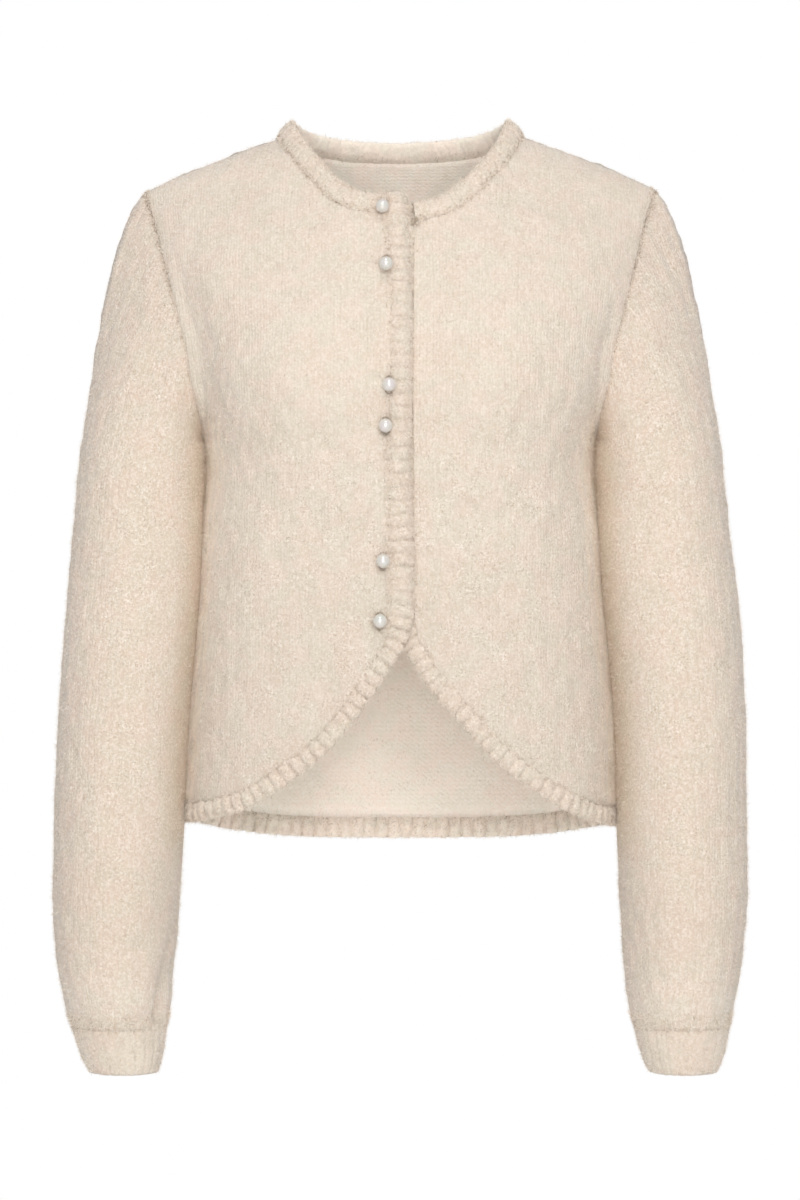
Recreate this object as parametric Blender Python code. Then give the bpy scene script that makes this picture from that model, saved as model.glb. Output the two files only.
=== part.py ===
"""Cropped button cardigan in brushed wool knit, hollow, in the shape it has when worn.

Metres, +Z up. The front faces -Y and +X is the wearer's left. The origin lies midway between the
shoulder seams, at the height where the wearer's shoulders carry the garment.

The torso is one surface over a general figure: a stack of rounded sections that closes over the
shoulders. The front and back panels are cut from it along the side seams, armholes, neckline and
hem, and each sleeve is lofted from its armhole down to the cuff. Every panel is a wall: a grid of
outer points, and the same grid moved in along the normals. The ribbed bands follow the panels'
edges, with their ribs raised in the outer points over a plain inside.

A line on the torso is kept as (angle, height): the angle round the section, 0 in the middle and a
quarter turn at the side seam, negative on the wearer's right.
"""

import math

import bmesh
import bpy
import numpy as np
from mathutils import Matrix

RIGHT, LEFT = -1, 1
FRONT, BACK = -1, 1
QUARTER = math.pi / 2

# Cloth and seams
CLOTH = 0.0028
SEAM_GAP = 0.0005
SEAM_HALF_GAP = 0.0002
ARMHOLE_GAP = 0.0006

# Shoulders: a straight seam from the neck point to the sleeve
NECK_POINT_X = 0.086
SHOULDER_TIP_X = 0.180
SHOULDER_SLOPE = 0.391
SHOULDER_TOP = 0.0531
SHOULDER_Y = 0.004
SHOULDER_ROUND = 0.090
SHOULDER_BULGE = 0.0016
SHOULDER_TILT = 0.0011
TILT_FADE = 0.200

# The garment on its figure, level by level: the half width, where its widest point lies, how far the
# middle of the front and of the back stand out, and how square the section is
TORSO_COLUMNS = ("height", "half_width", "side_y", "front_y", "back_y", "squareness")
TORSO_LEVELS = (
    (0.030, 0.188, 0.008, -0.046, 0.060, 2.50),
    (-0.020, 0.187, 0.012, -0.059, 0.070, 2.50),
    (-0.060, 0.183, 0.017, -0.080, 0.083, 2.45),
    (-0.100, 0.177, 0.021, -0.099, 0.092, 2.50),
    (-0.150, 0.166, 0.024, -0.112, 0.094, 2.60),
    (-0.197, 0.1405, 0.025, -0.112, 0.089, 2.90),
    (-0.265, 0.1418, 0.025, -0.107, 0.086, 3.10),
    (-0.335, 0.1475, 0.025, -0.106, 0.088, 3.10),
    (-0.400, 0.1535, 0.025, -0.107, 0.093, 3.05),
    (-0.490, 0.1560, 0.025, -0.108, 0.098, 3.00),
)
BUST_DEPTH = 0.011
BUST_X = 0.078
BUST_HALF_WIDTH = 0.052
BUST_HEIGHT = -0.148
BUST_HALF_HEIGHT = 0.052

# How the angle round a section is spread over its width: near 2, so that lines stay smooth in the middle
ANGLE_SPREAD = 2.1

# Towards the side seams the bust and the folds fade out over this share of the section's depth
SIDE_FADE = 0.3

# The largest folds, one on each side of the front and of the back: soft troughs that run down from the
# armhole, as (face, x, height, x and height of the lower end, half width, depth)
FOLDS = (
    (FRONT, 0.1450, -0.0980, 0.1240, -0.1880, 0.0130, 0.0036),
    (BACK, 0.1540, -0.1050, 0.1260, -0.1950, 0.0150, 0.0036),
)

# Armholes from the shoulder tip round to the underarm point, as (x, height)
UNDERARM = -0.197
ARMHOLE_FRONT = (
    (0.1800, -0.0173),
    (0.1726, -0.0411),
    (0.1624, -0.0812),
    (0.1555, -0.1100),
    (0.1502, -0.1323),
    (0.1455, -0.1600),
    (0.1412, -0.1780),
    (0.1398, -0.1900),
    (0.1405, UNDERARM),
)
ARMHOLE_BACK = (
    (0.1800, -0.0173),
    (0.1765, -0.0411),
    (0.1700, -0.0812),
    (0.1655, -0.1100),
    (0.1617, -0.1323),
    (0.1562, -0.1600),
    (0.1462, -0.1800),
    (0.1420, -0.1900),
    (0.1405, UNDERARM),
)
ARMHOLE_STEPS = 12

# Neckline seam from the neck point to the middle, as (x, height)
NECK_FRONT_RIGHT = (
    (0.0860, 0.0191),
    (0.0780, 0.0065),
    (0.0650, -0.0105),
    (0.0480, -0.0290),
    (0.0300, -0.0372),
    (0.0100, -0.0395),
)
NECK_FRONT_LEFT = (
    (0.0860, 0.0191),
    (0.0795, 0.0055),
    (0.0650, -0.0130),
    (0.0480, -0.0300),
    (0.0300, -0.0410),
    (0.0100, -0.0455),
)
NECK_BACK = (
    (0.0860, 0.0191),
    (0.0700, 0.0134),
    (0.0480, 0.0094),
    (0.0240, 0.0078),
    (0.0000, 0.0073),
)
NECK_STEPS_FRONT = 7
NECK_STEPS_BACK = 10

# Free edges of the two fronts, from the neck down and round to the side seam, as (x, height, width of
# the band). x is counted outwards on the front's own side, so the lapped edge is past the middle.
RIGHT_FRONT_EDGE = (
    (-0.0060, -0.0245, 0.0158),
    (-0.0078, -0.0500, 0.0148),
    (-0.0092, -0.0900, 0.0140),
    (-0.0090, -0.1600, 0.0154),
    (-0.0092, -0.2300, 0.0152),
    (-0.0112, -0.2700, 0.0166),
    (-0.0112, -0.3000, 0.0164),
    (-0.0090, -0.3210, 0.0145),
    (-0.0045, -0.3360, 0.0128),
    (0.0035, -0.3495, 0.0120),
    (0.0128, -0.3640, 0.0118),
    (0.0360, -0.3957, 0.0118),
    (0.0494, -0.4107, 0.0118),
    (0.0758, -0.4324, 0.0118),
    (0.1010, -0.4482, 0.0119),
    (0.1319, -0.4580, 0.0121),
    (0.1470, -0.4612, 0.0124),
    (0.1600, -0.4637, 0.0128),
)
LEFT_FRONT_EDGE = (
    (-0.0060, -0.0330, 0.0150),
    (-0.0062, -0.1000, 0.0150),
    (-0.0062, -0.2000, 0.0150),
    (-0.0060, -0.3000, 0.0150),
    (-0.0042, -0.3250, 0.0140),
    (0.0005, -0.3395, 0.0128),
    (0.0075, -0.3500, 0.0122),
    (0.0150, -0.3618, 0.0120),
    (0.0395, -0.3904, 0.0118),
    (0.0621, -0.4151, 0.0118),
    (0.0912, -0.4377, 0.0118),
    (0.1204, -0.4548, 0.0119),
    (0.1400, -0.4615, 0.0121),
    (0.1600, -0.4660, 0.0128),
)
LEFT_RIBS_FROM = -0.300
CORNER_HEIGHT = -0.410
TURN_WEIGHT = 0.08
EDGE_PASSES = 4
WAIST_HEIGHT = -0.290
LAP = 0.0035
LAP_REACH = 0.034
CORNER_STEPS, WAIST_STEPS, SIDE_STEPS = 9, 6, 10
FRONT_COLUMNS = 12
SHOULDER_COLUMNS = 6

# Back hem: its lower edge at the two side seams and in the middle, and the height of its band
HEM_RIGHT, HEM_LEFT = -0.4637, -0.4660
HEM_MIDDLE = -0.4795
HEM_BAND = 0.0146
HEM_FLATNESS = 3.4

# Sleeves, level by level down the arm, and their cuffs
SLEEVE_COLUMNS = ("height", "middle_x", "middle_y", "width", "depth", "squareness")
SLEEVE_LEVELS = (
    (-0.2350, 0.18245, -0.012, 0.0899, 0.117, 2.4),
    (-0.2650, 0.18380, -0.017, 0.0926, 0.117, 2.4),
    (-0.2950, 0.18585, -0.022, 0.0947, 0.117, 2.35),
    (-0.3400, 0.18965, -0.028, 0.0933, 0.117, 2.3),
    (-0.4000, 0.19365, -0.033, 0.0913, 0.116, 2.2),
    (-0.4669, 0.19555, -0.037, 0.0901, 0.114, 2.2),
    (-0.5225, 0.1974, -0.039, 0.0865, 0.110, 2.2),
    (-0.5641, 0.1966, -0.040, 0.0796, 0.103, 2.2),
    (-0.5849, 0.1957, -0.041, 0.0742, 0.095, 2.1),
    (-0.6040, 0.1954, -0.042, 0.0655, 0.080, 2.0),
)
CUFF_LEVELS = (
    (-0.6044, 0.1954, -0.042, 0.0650, 0.079, 2.0),
    (-0.6190, 0.1950, -0.042, 0.0592, 0.071, 2.0),
    (-0.6345, 0.1942, -0.042, 0.0490, 0.062, 2.0),
)
SWAY_COLUMNS = ("height", "shift")
SWAY_LEVELS = (
    (-0.100, 0.0000),
    (-0.250, 0.0008),
    (-0.340, 0.0018),
    (-0.420, 0.0010),
    (-0.500, 0.0000),
    (-0.600, 0.0003),
    (-0.640, 0.0026),
)
CAP_STEPS, ARM_STEPS = 8, 11
CAP_FULLNESS, ARM_FULLNESS = 0.38, 0.85
CAP_LIFT, UNDERARM_TURN = 0.25, 0.80
CAP_DROP = 0.28
HANG_OUTWARD = 0.08
SLEEVE_TWIST = 0.45
RELAX_PASSES = 12
SLEEVE_CLEARANCE = 0.0024

# Ribs
RIB_PITCH = 0.0090
RIB_DEPTH = 0.0014
BAND_CROWN = 0.0026
BAND_BACK = 0.0034
RIB_AT_EDGE = 0.2
NECK_BAND, NECK_BAND_EXTRA = 0.0125, 0.0035
NECK_LIFT = 0.80
NECK_END_GAP = 0.0010
PLAIN_STEP = 0.030

# A band's cross-section, as (share of its width, height in crowns or in backs)
BAND_OUTER = ((0.00, 0.05), (0.24, 1.00), (0.76, 1.00), (1.00, 0.05))
BAND_INNER = ((0.12, -1.00), (0.88, -1.00))

CUFF_RIBS = 25
CUFF_WALL = 0.0030

# Pearl buttons on the right front, in pairs beside the band, as (x, height, how far the middle stands
# over the cloth): the top one is sewn on the end of the neckband
BUTTON_RADIUS = 0.0054
BUTTON_BACK = 0.85
BUTTONS = (
    (-0.0114, -0.0405, 0.0096),
    (-0.0092, -0.0805, 0.0072),
    (-0.0076, -0.1612, 0.0072),
    (-0.0097, -0.1882, 0.0072),
    (-0.0110, -0.2800, 0.0072),
    (-0.0130, -0.3210, 0.0072),
)

CREAM = (0.80, 0.69, 0.57)
PEARL = (0.80, 0.78, 0.72)

# Numbers of the method: points on a smooth line, the step that slopes are read with, how far inside its
# edges the torso's slopes are read, and what counts as lying on an edge
DENSE = 400
SLOPE_STEP = 1e-3
INSIDE_ANGLE, INSIDE_HEIGHT = 0.02, 0.003
TOUCHING = 1e-4


def hermite(keys, values, at):
    """A cubic curve through values, with its slope at each key taken from the keys beside it."""
    slopes = np.gradient(values, keys, axis=0)
    index = np.clip(np.searchsorted(keys, at) - 1, 0, len(keys) - 2)
    step = keys[index + 1] - keys[index]
    part = np.clip((at - keys[index]) / step, 0.0, 1.0)
    if values.ndim > 1:
        part, step = part[..., None], step[..., None]
    rise = part * part * (3 - 2 * part)
    start = part * (1 - part) ** 2 * step * slopes[index]
    end = part * part * (part - 1) * step * slopes[index + 1]
    return values[index] * (1 - rise) + values[index + 1] * rise + start + end


def level(columns, rows, name, at):
    """One named column of a table of levels, at any height."""
    table = np.array(sorted(rows))
    return hermite(table[:, 0], table[:, columns.index(name)], at)


def body(name, at):
    return level(TORSO_COLUMNS, TORSO_LEVELS, name, at)


def unit(vectors):
    return vectors / np.linalg.norm(vectors, axis=-1, keepdims=True)


def lengths_along(points):
    """Distance of each point from the first, along the line through them."""
    steps = np.linalg.norm(np.diff(points, axis=0), axis=1)
    return np.concatenate([[0.0], np.cumsum(steps)])


def read_along(along, values, wanted):
    """Values kept at distances along a line, read at other distances."""
    flat = values.reshape(len(values), -1)
    read = np.stack([np.interp(wanted, along, column) for column in flat.T], axis=-1)
    return read.reshape(len(wanted), *values.shape[1:])


def evenly(points, steps):
    """The same line with its points at equal distances."""
    along = lengths_along(points)
    return read_along(along, points, np.linspace(0.0, along[-1], steps + 1))


def smooth_line(points):
    """Many points on a smooth curve through a few."""
    points = np.asarray(points, float)
    along = lengths_along(points)
    return hermite(along, points, np.linspace(0.0, along[-1], DENSE))


def shoulder_height(x):
    """Height of the shoulder line: a straight slope that swells a little between neck and sleeve."""
    share = np.clip((np.abs(x) - NECK_POINT_X) / (SHOULDER_TIP_X - NECK_POINT_X), 0.0, 1.0)
    return SHOULDER_TOP - SHOULDER_SLOPE * np.abs(x) + 4 * SHOULDER_BULGE * share * (1 - share)


def angle_at(x, z):
    """The angle round the section at which the torso stands x from its middle."""
    share = np.clip(np.abs(x) / body("half_width", z), 0.0, 1.0)
    return np.sign(x) * np.arcsin(share ** (ANGLE_SPREAD / 2))


def fold_depth(x, z, face):
    """How deep the folds of a face press in at each point: a rounded trough along each fold's line."""
    depth = 0 * x
    for on_face, x_start, z_start, x_end, z_end, half_width, deepest in FOLDS:
        run_x, run_z = x_end - x_start, z_end - z_start
        share = np.clip(((x - x_start) * run_x + (z - z_start) * run_z) / (run_x**2 + run_z**2), 0.0, 1.0)
        away = np.hypot(x - x_start - share * run_x, z - z_start - share * run_z)
        depth = depth + (on_face == face) * deepest * np.exp(-((away / half_width) ** 2))
    return depth


def torso(line, face, layer=0):
    """Outer points of the torso. A layer of -1 lifts the lapped edge to the front, and 1 lowers it."""
    angle, z = line[..., 0], line[..., 1]
    share = np.abs(np.sin(angle)) ** (2 / ANGLE_SPREAD)
    x = body("half_width", z) * np.sign(angle) * share
    side = body("side_y", z)
    middle = body("front_y" if face == FRONT else "back_y", z)
    power = body("squareness", z)
    forward = np.maximum(1 - share**power, 0.0) ** (1 / power)
    y = side + (middle - side) * forward
    off_side = np.clip(forward / SIDE_FADE, 0.0, 1.0)
    if face == FRONT:
        sideways = (np.abs(x) - BUST_X) / BUST_HALF_WIDTH
        upward = (z - BUST_HEIGHT) / BUST_HALF_HEIGHT
        y = y - BUST_DEPTH * off_side * np.exp(-(sideways**2) - upward**2)
    y = y - face * off_side * fold_depth(np.abs(x), z, face)
    drop = np.clip((shoulder_height(x) - z) / SHOULDER_ROUND, 0.0, 1.0)
    y = SHOULDER_Y + (y - SHOULDER_Y) * np.sqrt(1 - (1 - drop) ** 2)
    y = y + layer * LAP * np.exp(-((x / LAP_REACH) ** 2))
    return np.stack([x, y, z], axis=-1)


def torso_slopes(line, face, layer):
    """How the torso's points move with the angle and with the height, taken just inside its edges."""
    step = SLOPE_STEP
    angle = np.clip(line[..., 0], INSIDE_ANGLE - QUARTER, QUARTER - INSIDE_ANGLE)
    x = torso(np.stack([angle, line[..., 1]], axis=-1), face, layer)[..., 0]
    inside = np.stack([angle, np.minimum(line[..., 1], shoulder_height(x) - INSIDE_HEIGHT)], axis=-1)
    turn, rise = np.array([step, 0.0]), np.array([0.0, step])
    around = torso(inside + turn, face, layer) - torso(inside - turn, face, layer)
    upward = torso(inside + rise, face, layer) - torso(inside - rise, face, layer)
    return around / (2 * step), upward / (2 * step)


def torso_normals(line, face, layer=0):
    """Outward normals. Front and back share them along the side seams and the shoulder seams."""
    around, upward = torso_slopes(line, face, layer)
    normals = -face * unit(np.cross(around, upward))
    x = torso(line, face, layer)[..., 0]
    outwards = np.sign(x)
    flat = 0 * x
    at_side = np.abs(line[..., 0]) > QUARTER - TOUCHING
    at_shoulder = shoulder_height(x) - line[..., 1] < TOUCHING
    normals = np.where(at_side[..., None], np.stack([outwards, flat, flat], axis=-1), normals)
    roof = unit(np.stack([SHOULDER_SLOPE * outwards, flat, flat + 1], axis=-1))
    return np.where(at_shoulder[..., None], roof, normals)


def line_on(side, points):
    """Many (angle, height) points on a smooth line given as (x, height), with any further columns."""
    points = np.asarray(points, float)
    angles = side * angle_at(points[:, 0], points[:, 1])
    radius = body("half_width", 0.0)
    line = smooth_line(np.column_stack([angles * radius, points[:, 1:]]))
    line[:, 0] /= radius
    return line


def armhole(side, face):
    """Half of an armhole from the shoulder tip to the underarm point, as (angle, height)."""
    line = line_on(side, ARMHOLE_FRONT if face == FRONT else ARMHOLE_BACK)
    line = evenly_on_torso(line, face, ARMHOLE_STEPS)
    line[0] = tip_of_shoulder(side)
    line[-1] = side * QUARTER, UNDERARM
    return line


def evenly_on_torso(line, face, steps):
    """A line on the torso with its points at equal distances along the cloth."""
    along = lengths_along(torso(line, face))
    return read_along(along, line, np.linspace(0.0, along[-1], steps + 1))


def tip_of_shoulder(side):
    z = shoulder_height(SHOULDER_TIP_X)
    return side * angle_at(SHOULDER_TIP_X, z), z


def neck_point(side):
    z = shoulder_height(NECK_POINT_X)
    return side * angle_at(NECK_POINT_X, z), z


def straight(start, end, steps):
    """A straight run between two (angle, height) points."""
    share = np.linspace(0.0, 1.0, steps + 1)[:, None]
    return np.asarray(start) * (1 - share) + np.asarray(end) * share


def shoulder_seam(side, steps):
    """The shoulder seam from the neck point to the tip."""
    x = np.linspace(NECK_POINT_X, SHOULDER_TIP_X, steps + 1)
    z = shoulder_height(x)
    return np.stack([side * angle_at(x, z), z], axis=-1)


def between(line, high, low, steps):
    """The stretch of a falling line between two heights, its points closer where it turns."""
    share = np.interp([-high, -low], -line[:, 1], np.arange(len(line)))
    cut = read_along(np.arange(len(line)), line, np.linspace(share[0], share[1], DENSE))
    runs = np.diff(cut, axis=0) * (body("half_width", WAIST_HEIGHT), 1.0)
    turned = np.abs(np.gradient(np.unwrap(np.arctan2(runs[:, 1], runs[:, 0]))))
    along = np.concatenate([[0.0], np.cumsum(np.linalg.norm(runs, axis=1) + TURN_WEIGHT * turned)])
    return read_along(along, cut, np.linspace(0.0, along[-1], steps + 1))


def joined(*lines):
    """Lines end to end, without the doubled points where they meet."""
    return np.concatenate([lines[0]] + [line[1:] for line in lines[1:]])


def patch(bottom, top, start, end):
    """A grid of (angle, height) points inside four boundary lines: a Coons patch, then evened out."""
    across = np.linspace(0.0, 1.0, len(bottom))[:, None, None]
    up = np.linspace(0.0, 1.0, len(start))[None, :, None]
    ruled_up = bottom[:, None] * (1 - up) + top[:, None] * up
    ruled_across = start[None] * (1 - across) + end[None] * across
    low = bottom[0] * (1 - across) + bottom[-1] * across
    high = top[0] * (1 - across) + top[-1] * across
    grid = ruled_up + ruled_across - low * (1 - up) - high * up
    for _ in range(RELAX_PASSES):
        beside = grid[:-2, 1:-1] + grid[2:, 1:-1] + grid[1:-1, :-2] + grid[1:-1, 2:]
        grid[1:-1, 1:-1] = beside / 4
    return grid


class Edge:
    """A free edge on the torso, with the directions that its band is built in."""

    def __init__(self, line, widths, face, layer, inward_hint):
        self.line, self.widths = line, widths
        self.face, self.layer = face, layer
        self.points = torso(line, face, layer)
        self.normals = torso_normals(line, face, layer)
        tangents = unit(np.gradient(self.points, axis=0))
        inward = unit(np.cross(self.normals, tangents))
        self.inward = inward * np.sign(inward[0] @ np.asarray(inward_hint))

    def panel_line(self):
        """Where the panel ends beside the band, as (angle, height)."""
        target = self.points + self.inward * (self.widths + SEAM_GAP)[:, None]
        line = self.line
        for _ in range(EDGE_PASSES):
            line = line + self.step_towards(target, line)
            line[:, 0] = np.clip(line[:, 0], -QUARTER, QUARTER)
        return line

    def step_towards(self, target, line):
        """The change of (angle, height) that brings the torso's points nearest to a target."""
        move = target - torso(line, self.face, self.layer)
        around, upward = torso_slopes(line, self.face, self.layer)
        aa, uu = np.sum(around**2, axis=1), np.sum(upward**2, axis=1)
        au = np.sum(around * upward, axis=1)
        ma, mu = np.sum(move * around, axis=1), np.sum(move * upward, axis=1)
        scale = aa * uu - au**2
        return np.stack([(ma * uu - mu * au) / scale, (mu * aa - ma * au) / scale], axis=-1)


def front_edge(side):
    """The right front laps over the left, so its edge lies one layer further forward."""
    line = line_on(side, RIGHT_FRONT_EDGE if side == RIGHT else LEFT_FRONT_EDGE)
    return Edge(line[:, :2], line[:, 2], FRONT, side, (side, 0, 0))


def back_edge():
    angle = np.linspace(-QUARTER, QUARTER, DENSE)
    ends = np.where(angle < 0, HEM_RIGHT, HEM_LEFT)
    height = HEM_MIDDLE + (ends - HEM_MIDDLE) * np.abs(np.sin(angle)) ** HEM_FLATNESS
    return Edge(np.stack([angle, height], axis=-1), 0 * angle + HEM_BAND, BACK, 0, (0, 0, 1))


def front_lines(side):
    """The four boundaries of a front panel: bottom, top, free edge with neckline, and side with armhole."""
    edge_line = front_edge(side).panel_line()
    neck = np.array(NECK_FRONT_RIGHT if side == RIGHT else NECK_FRONT_LEFT)
    neck_bottom = neck[-1, 1]
    bottom = between(edge_line, CORNER_HEIGHT, edge_line[-1, 1], FRONT_COLUMNS)
    corner = between(edge_line, WAIST_HEIGHT, CORNER_HEIGHT, CORNER_STEPS)[::-1]
    waist = between(edge_line, neck_bottom, WAIST_HEIGHT, WAIST_STEPS)[::-1]
    neck[-1, 0] = side * torso(waist[-1], FRONT)[0]
    neckline = evenly_on_torso(line_on(side, neck), FRONT, NECK_STEPS_FRONT)[::-1]
    neckline[0], neckline[-1] = waist[-1], neck_point(side)
    side_seam = straight((side * QUARTER, bottom[-1, 1]), (side * QUARTER, UNDERARM), SIDE_STEPS)
    bottom[-1] = side_seam[0]
    top = shoulder_seam(side, FRONT_COLUMNS)
    return bottom, top, joined(corner, waist, neckline), joined(side_seam, armhole(side, FRONT)[::-1])


def back_lines():
    """The four boundaries of the back panel, from the wearer's right to the left."""
    edge_line = back_edge().panel_line()
    bottom = evenly(edge_line, NECK_STEPS_BACK + 2 * SHOULDER_COLUMNS)
    sides = []
    for side, low in ((RIGHT, bottom[0]), (LEFT, bottom[-1])):
        low[0] = side * QUARTER
        seam = straight(low, (side * QUARTER, UNDERARM), SIDE_STEPS)
        sides.append(joined(seam, armhole(side, BACK)[::-1]))
    left_half = evenly_on_torso(line_on(LEFT, NECK_BACK), BACK, NECK_STEPS_BACK // 2)
    left_half[0] = neck_point(LEFT)
    right_half = left_half * (-1, 1)
    neckline = joined(right_half, left_half[::-1])
    right_shoulder = shoulder_seam(RIGHT, SHOULDER_COLUMNS)[::-1]
    top = joined(right_shoulder, neckline, shoulder_seam(LEFT, SHOULDER_COLUMNS))
    return bottom, top, sides[0], sides[1]


def sleeve_start(side):
    """The armhole as a closed ring, with the cloth's normals there and the way the sleeve sets off."""
    front, back = armhole(side, FRONT), armhole(side, BACK)
    points = np.concatenate([torso(front, FRONT), torso(back, BACK)[-2:0:-1]])
    normals = np.concatenate([torso_normals(front, FRONT), torso_normals(back, BACK)[-2:0:-1]])
    along = unit(np.roll(points, -1, axis=0) - np.roll(points, 1, axis=0))
    away = unit(np.cross(along, normals))
    turned = np.sign(away[ARMHOLE_STEPS // 2, 0] * side)
    away = away * turned
    lower = ((points[0, 2] - points[:, 2]) / (points[0, 2] - UNDERARM))[:, None]
    down = np.array([0.0, 0.0, -1.0])
    lift = CAP_LIFT * (1 - lower) + UNDERARM_TURN * lower
    leaving = unit(away * (1 - lower) + normals * lift + down * (CAP_DROP + (1 - CAP_DROP) * lower))
    sleeve_normals = unit(np.cross(leaving, along)) * turned
    seam_normals = unit(normals + sleeve_normals)
    across = unit(np.cross(along, seam_normals)) * turned
    return points + across * ARMHOLE_GAP, seam_normals, leaving


def ring(columns, rows, side, z, turn):
    """A rounded oval round the arm: turn 0 is its outer side, and a quarter turn its front."""
    power = 2 / level(columns, rows, "squareness", z)
    cosine, sine = np.cos(turn), np.sin(turn)
    x = level(columns, rows, "width", z) / 2 * np.sign(cosine) * np.abs(cosine) ** power
    y = level(columns, rows, "depth", z) / 2 * np.sign(sine) * np.abs(sine) ** power
    x = level(columns, rows, "middle_x", z) + x + side * level(SWAY_COLUMNS, SWAY_LEVELS, "shift", z)
    y = level(columns, rows, "middle_y", z) - y
    return np.stack([side * x, y, z + 0 * x], axis=-1)


def clear_of_torso(points, side, clearance):
    """The inner side of the sleeve gives way to the body beside it."""
    y, z = points[..., 1], points[..., 2]
    wide = body("side_y", z)
    reach = np.where(y < wide, body("front_y", z), body("back_y", z)) - wide
    power = body("squareness", z)
    share = np.clip(np.abs((y - wide) / reach), 0.0, 1.0)
    flank = body("half_width", z) * (1 - share**power) ** (1 / power)
    beside = (z < UNDERARM) & (share < 1)
    least = np.where(beside, flank + clearance, 0.0)
    moved = points.copy()
    moved[..., 0] = side * np.maximum(side * points[..., 0], least)
    return moved


def sleeve_grid(side):
    """Outer points of a sleeve, a column for each point of the armhole, from the seam to the cuff."""
    start, seam_normals, leaving = sleeve_start(side)
    turn = np.linspace(0, 2 * math.pi, len(start), endpoint=False)
    turn = turn + SLEEVE_TWIST * np.sin(turn / 2) ** 2
    heights = np.linspace(SLEEVE_LEVELS[0][0], SLEEVE_LEVELS[-1][0], ARM_STEPS + 1)
    arm = ring(SLEEVE_COLUMNS, SLEEVE_LEVELS, side, heights[None, :], turn[:, None])
    end = arm[:, 0]
    reach = np.linalg.norm(end - start, axis=1)[:, None, None]
    share = np.linspace(0.0, 1.0, CAP_STEPS + 1)[None, :, None]
    rise = share * share * (3 - 2 * share)
    set_off = share * (1 - share) ** 2 * reach * CAP_FULLNESS * leaving[:, None]
    hang = np.array([HANG_OUTWARD * side, 0.0, -1.0])
    arrive = share * share * (share - 1) * reach * ARM_FULLNESS * hang
    cap = start[:, None] * (1 - rise) + end[:, None] * rise + set_off + arrive
    grid = np.concatenate([cap, arm[:, 1:]], axis=1)
    clearance = SLEEVE_CLEARANCE * np.clip(np.arange(grid.shape[1]) / 2, 0.0, 1.0)
    return clear_of_torso(grid, side, clearance), seam_normals


def grid_normals(grid, outward_hint, wrap):
    """Unit normals of a grid of points, facing the way of the hint at its middle."""
    if wrap:
        columns = np.roll(grid, -1, axis=0) - np.roll(grid, 1, axis=0)
    else:
        columns = np.gradient(grid, axis=0)
    normals = unit(np.cross(columns, np.gradient(grid, axis=1)))
    middle = grid.shape[1] // 2
    return normals * np.sign(normals[0, middle] @ np.asarray(outward_hint))


def swept_solid(name, outer, inner, wrap, colour, roughness):
    """One closed body: stations along it, each with a row of outer points and a row of inner points."""
    loop = np.concatenate([outer, inner[:, ::-1]], axis=1)
    stations, size = loop.shape[:2]
    index = np.arange(stations * size).reshape(stations, size)
    here = index if wrap else index[:-1]
    after = np.roll(index, -1, axis=0) if wrap else index[1:]
    sides = np.stack([here, after, np.roll(after, -1, axis=1), np.roll(here, -1, axis=1)], axis=-1)
    points = loop.reshape(-1, 3)
    faces = triangles(points, sides.reshape(-1, 4))
    if not wrap:
        faces += end_faces(points, index[0], outer.shape[1], inner.shape[1])
        faces += [face[::-1] for face in end_faces(points, index[-1], outer.shape[1], inner.shape[1])]
    corners = [[face[0], face[k], face[k + 1]] for face in faces for k in range(1, len(face) - 1)]
    if np.linalg.det(points[np.array(corners)]).sum() < 0:
        faces = [face[::-1] for face in faces]
    return make_object(name, points, faces, colour, roughness)


def triangles(points, quads):
    """Each four-sided face cut along its shorter diagonal."""
    corners = points[quads]
    first = np.linalg.norm(corners[:, 0] - corners[:, 2], axis=1)
    second = np.linalg.norm(corners[:, 1] - corners[:, 3], axis=1)
    by_first = (first <= second)[:, None]
    one = np.where(by_first, quads[:, [0, 1, 2]], quads[:, [0, 1, 3]])
    two = np.where(by_first, quads[:, [0, 2, 3]], quads[:, [1, 2, 3]])
    return np.concatenate([one, two]).tolist()


def end_faces(points, loop, outer_count, inner_count):
    """The end of a wall: strips between its two rows, or one face where the rows differ."""
    if outer_count != inner_count:
        return [loop.tolist()]
    outer_row, inner_row = loop[:outer_count], loop[outer_count:][::-1]
    quads = np.stack([outer_row[:-1], outer_row[1:], inner_row[1:], inner_row[:-1]], axis=-1)
    return triangles(points, quads)


def make_object(name, points, faces, colour, roughness):
    mesh = bpy.data.meshes.new(name)
    mesh.from_pydata(settle(points).tolist(), [], faces)
    return link_object(name, mesh, colour, roughness)


def link_object(name, mesh, colour, roughness):
    mesh.shade_smooth()
    mesh.set_sharp_from_angle(angle=math.radians(40))
    material = bpy.data.materials.new(name)
    material.use_nodes = True
    shader = material.node_tree.nodes["Principled BSDF"]
    shader.inputs["Base Color"].default_value = (*colour, 1.0)
    shader.inputs["Roughness"].default_value = roughness
    shader.inputs["Metallic"].default_value = 0.0
    mesh.materials.append(material)
    made = bpy.data.objects.new(name, mesh)
    bpy.context.scene.collection.objects.link(made)
    return made


def settle(points):
    """The wearer's left shoulder sits a little higher than the right."""
    fade = np.clip((points[..., 2] + TILT_FADE) / TILT_FADE, 0.0, 1.0) ** 2
    moved = points.copy()
    moved[..., 2] += SHOULDER_TILT * points[..., 0] / SHOULDER_TIP_X * fade
    return moved


def wall(name, outer, normals, wrap):
    swept_solid(name, outer, outer - normals * CLOTH, wrap, CREAM, 0.95)


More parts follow.
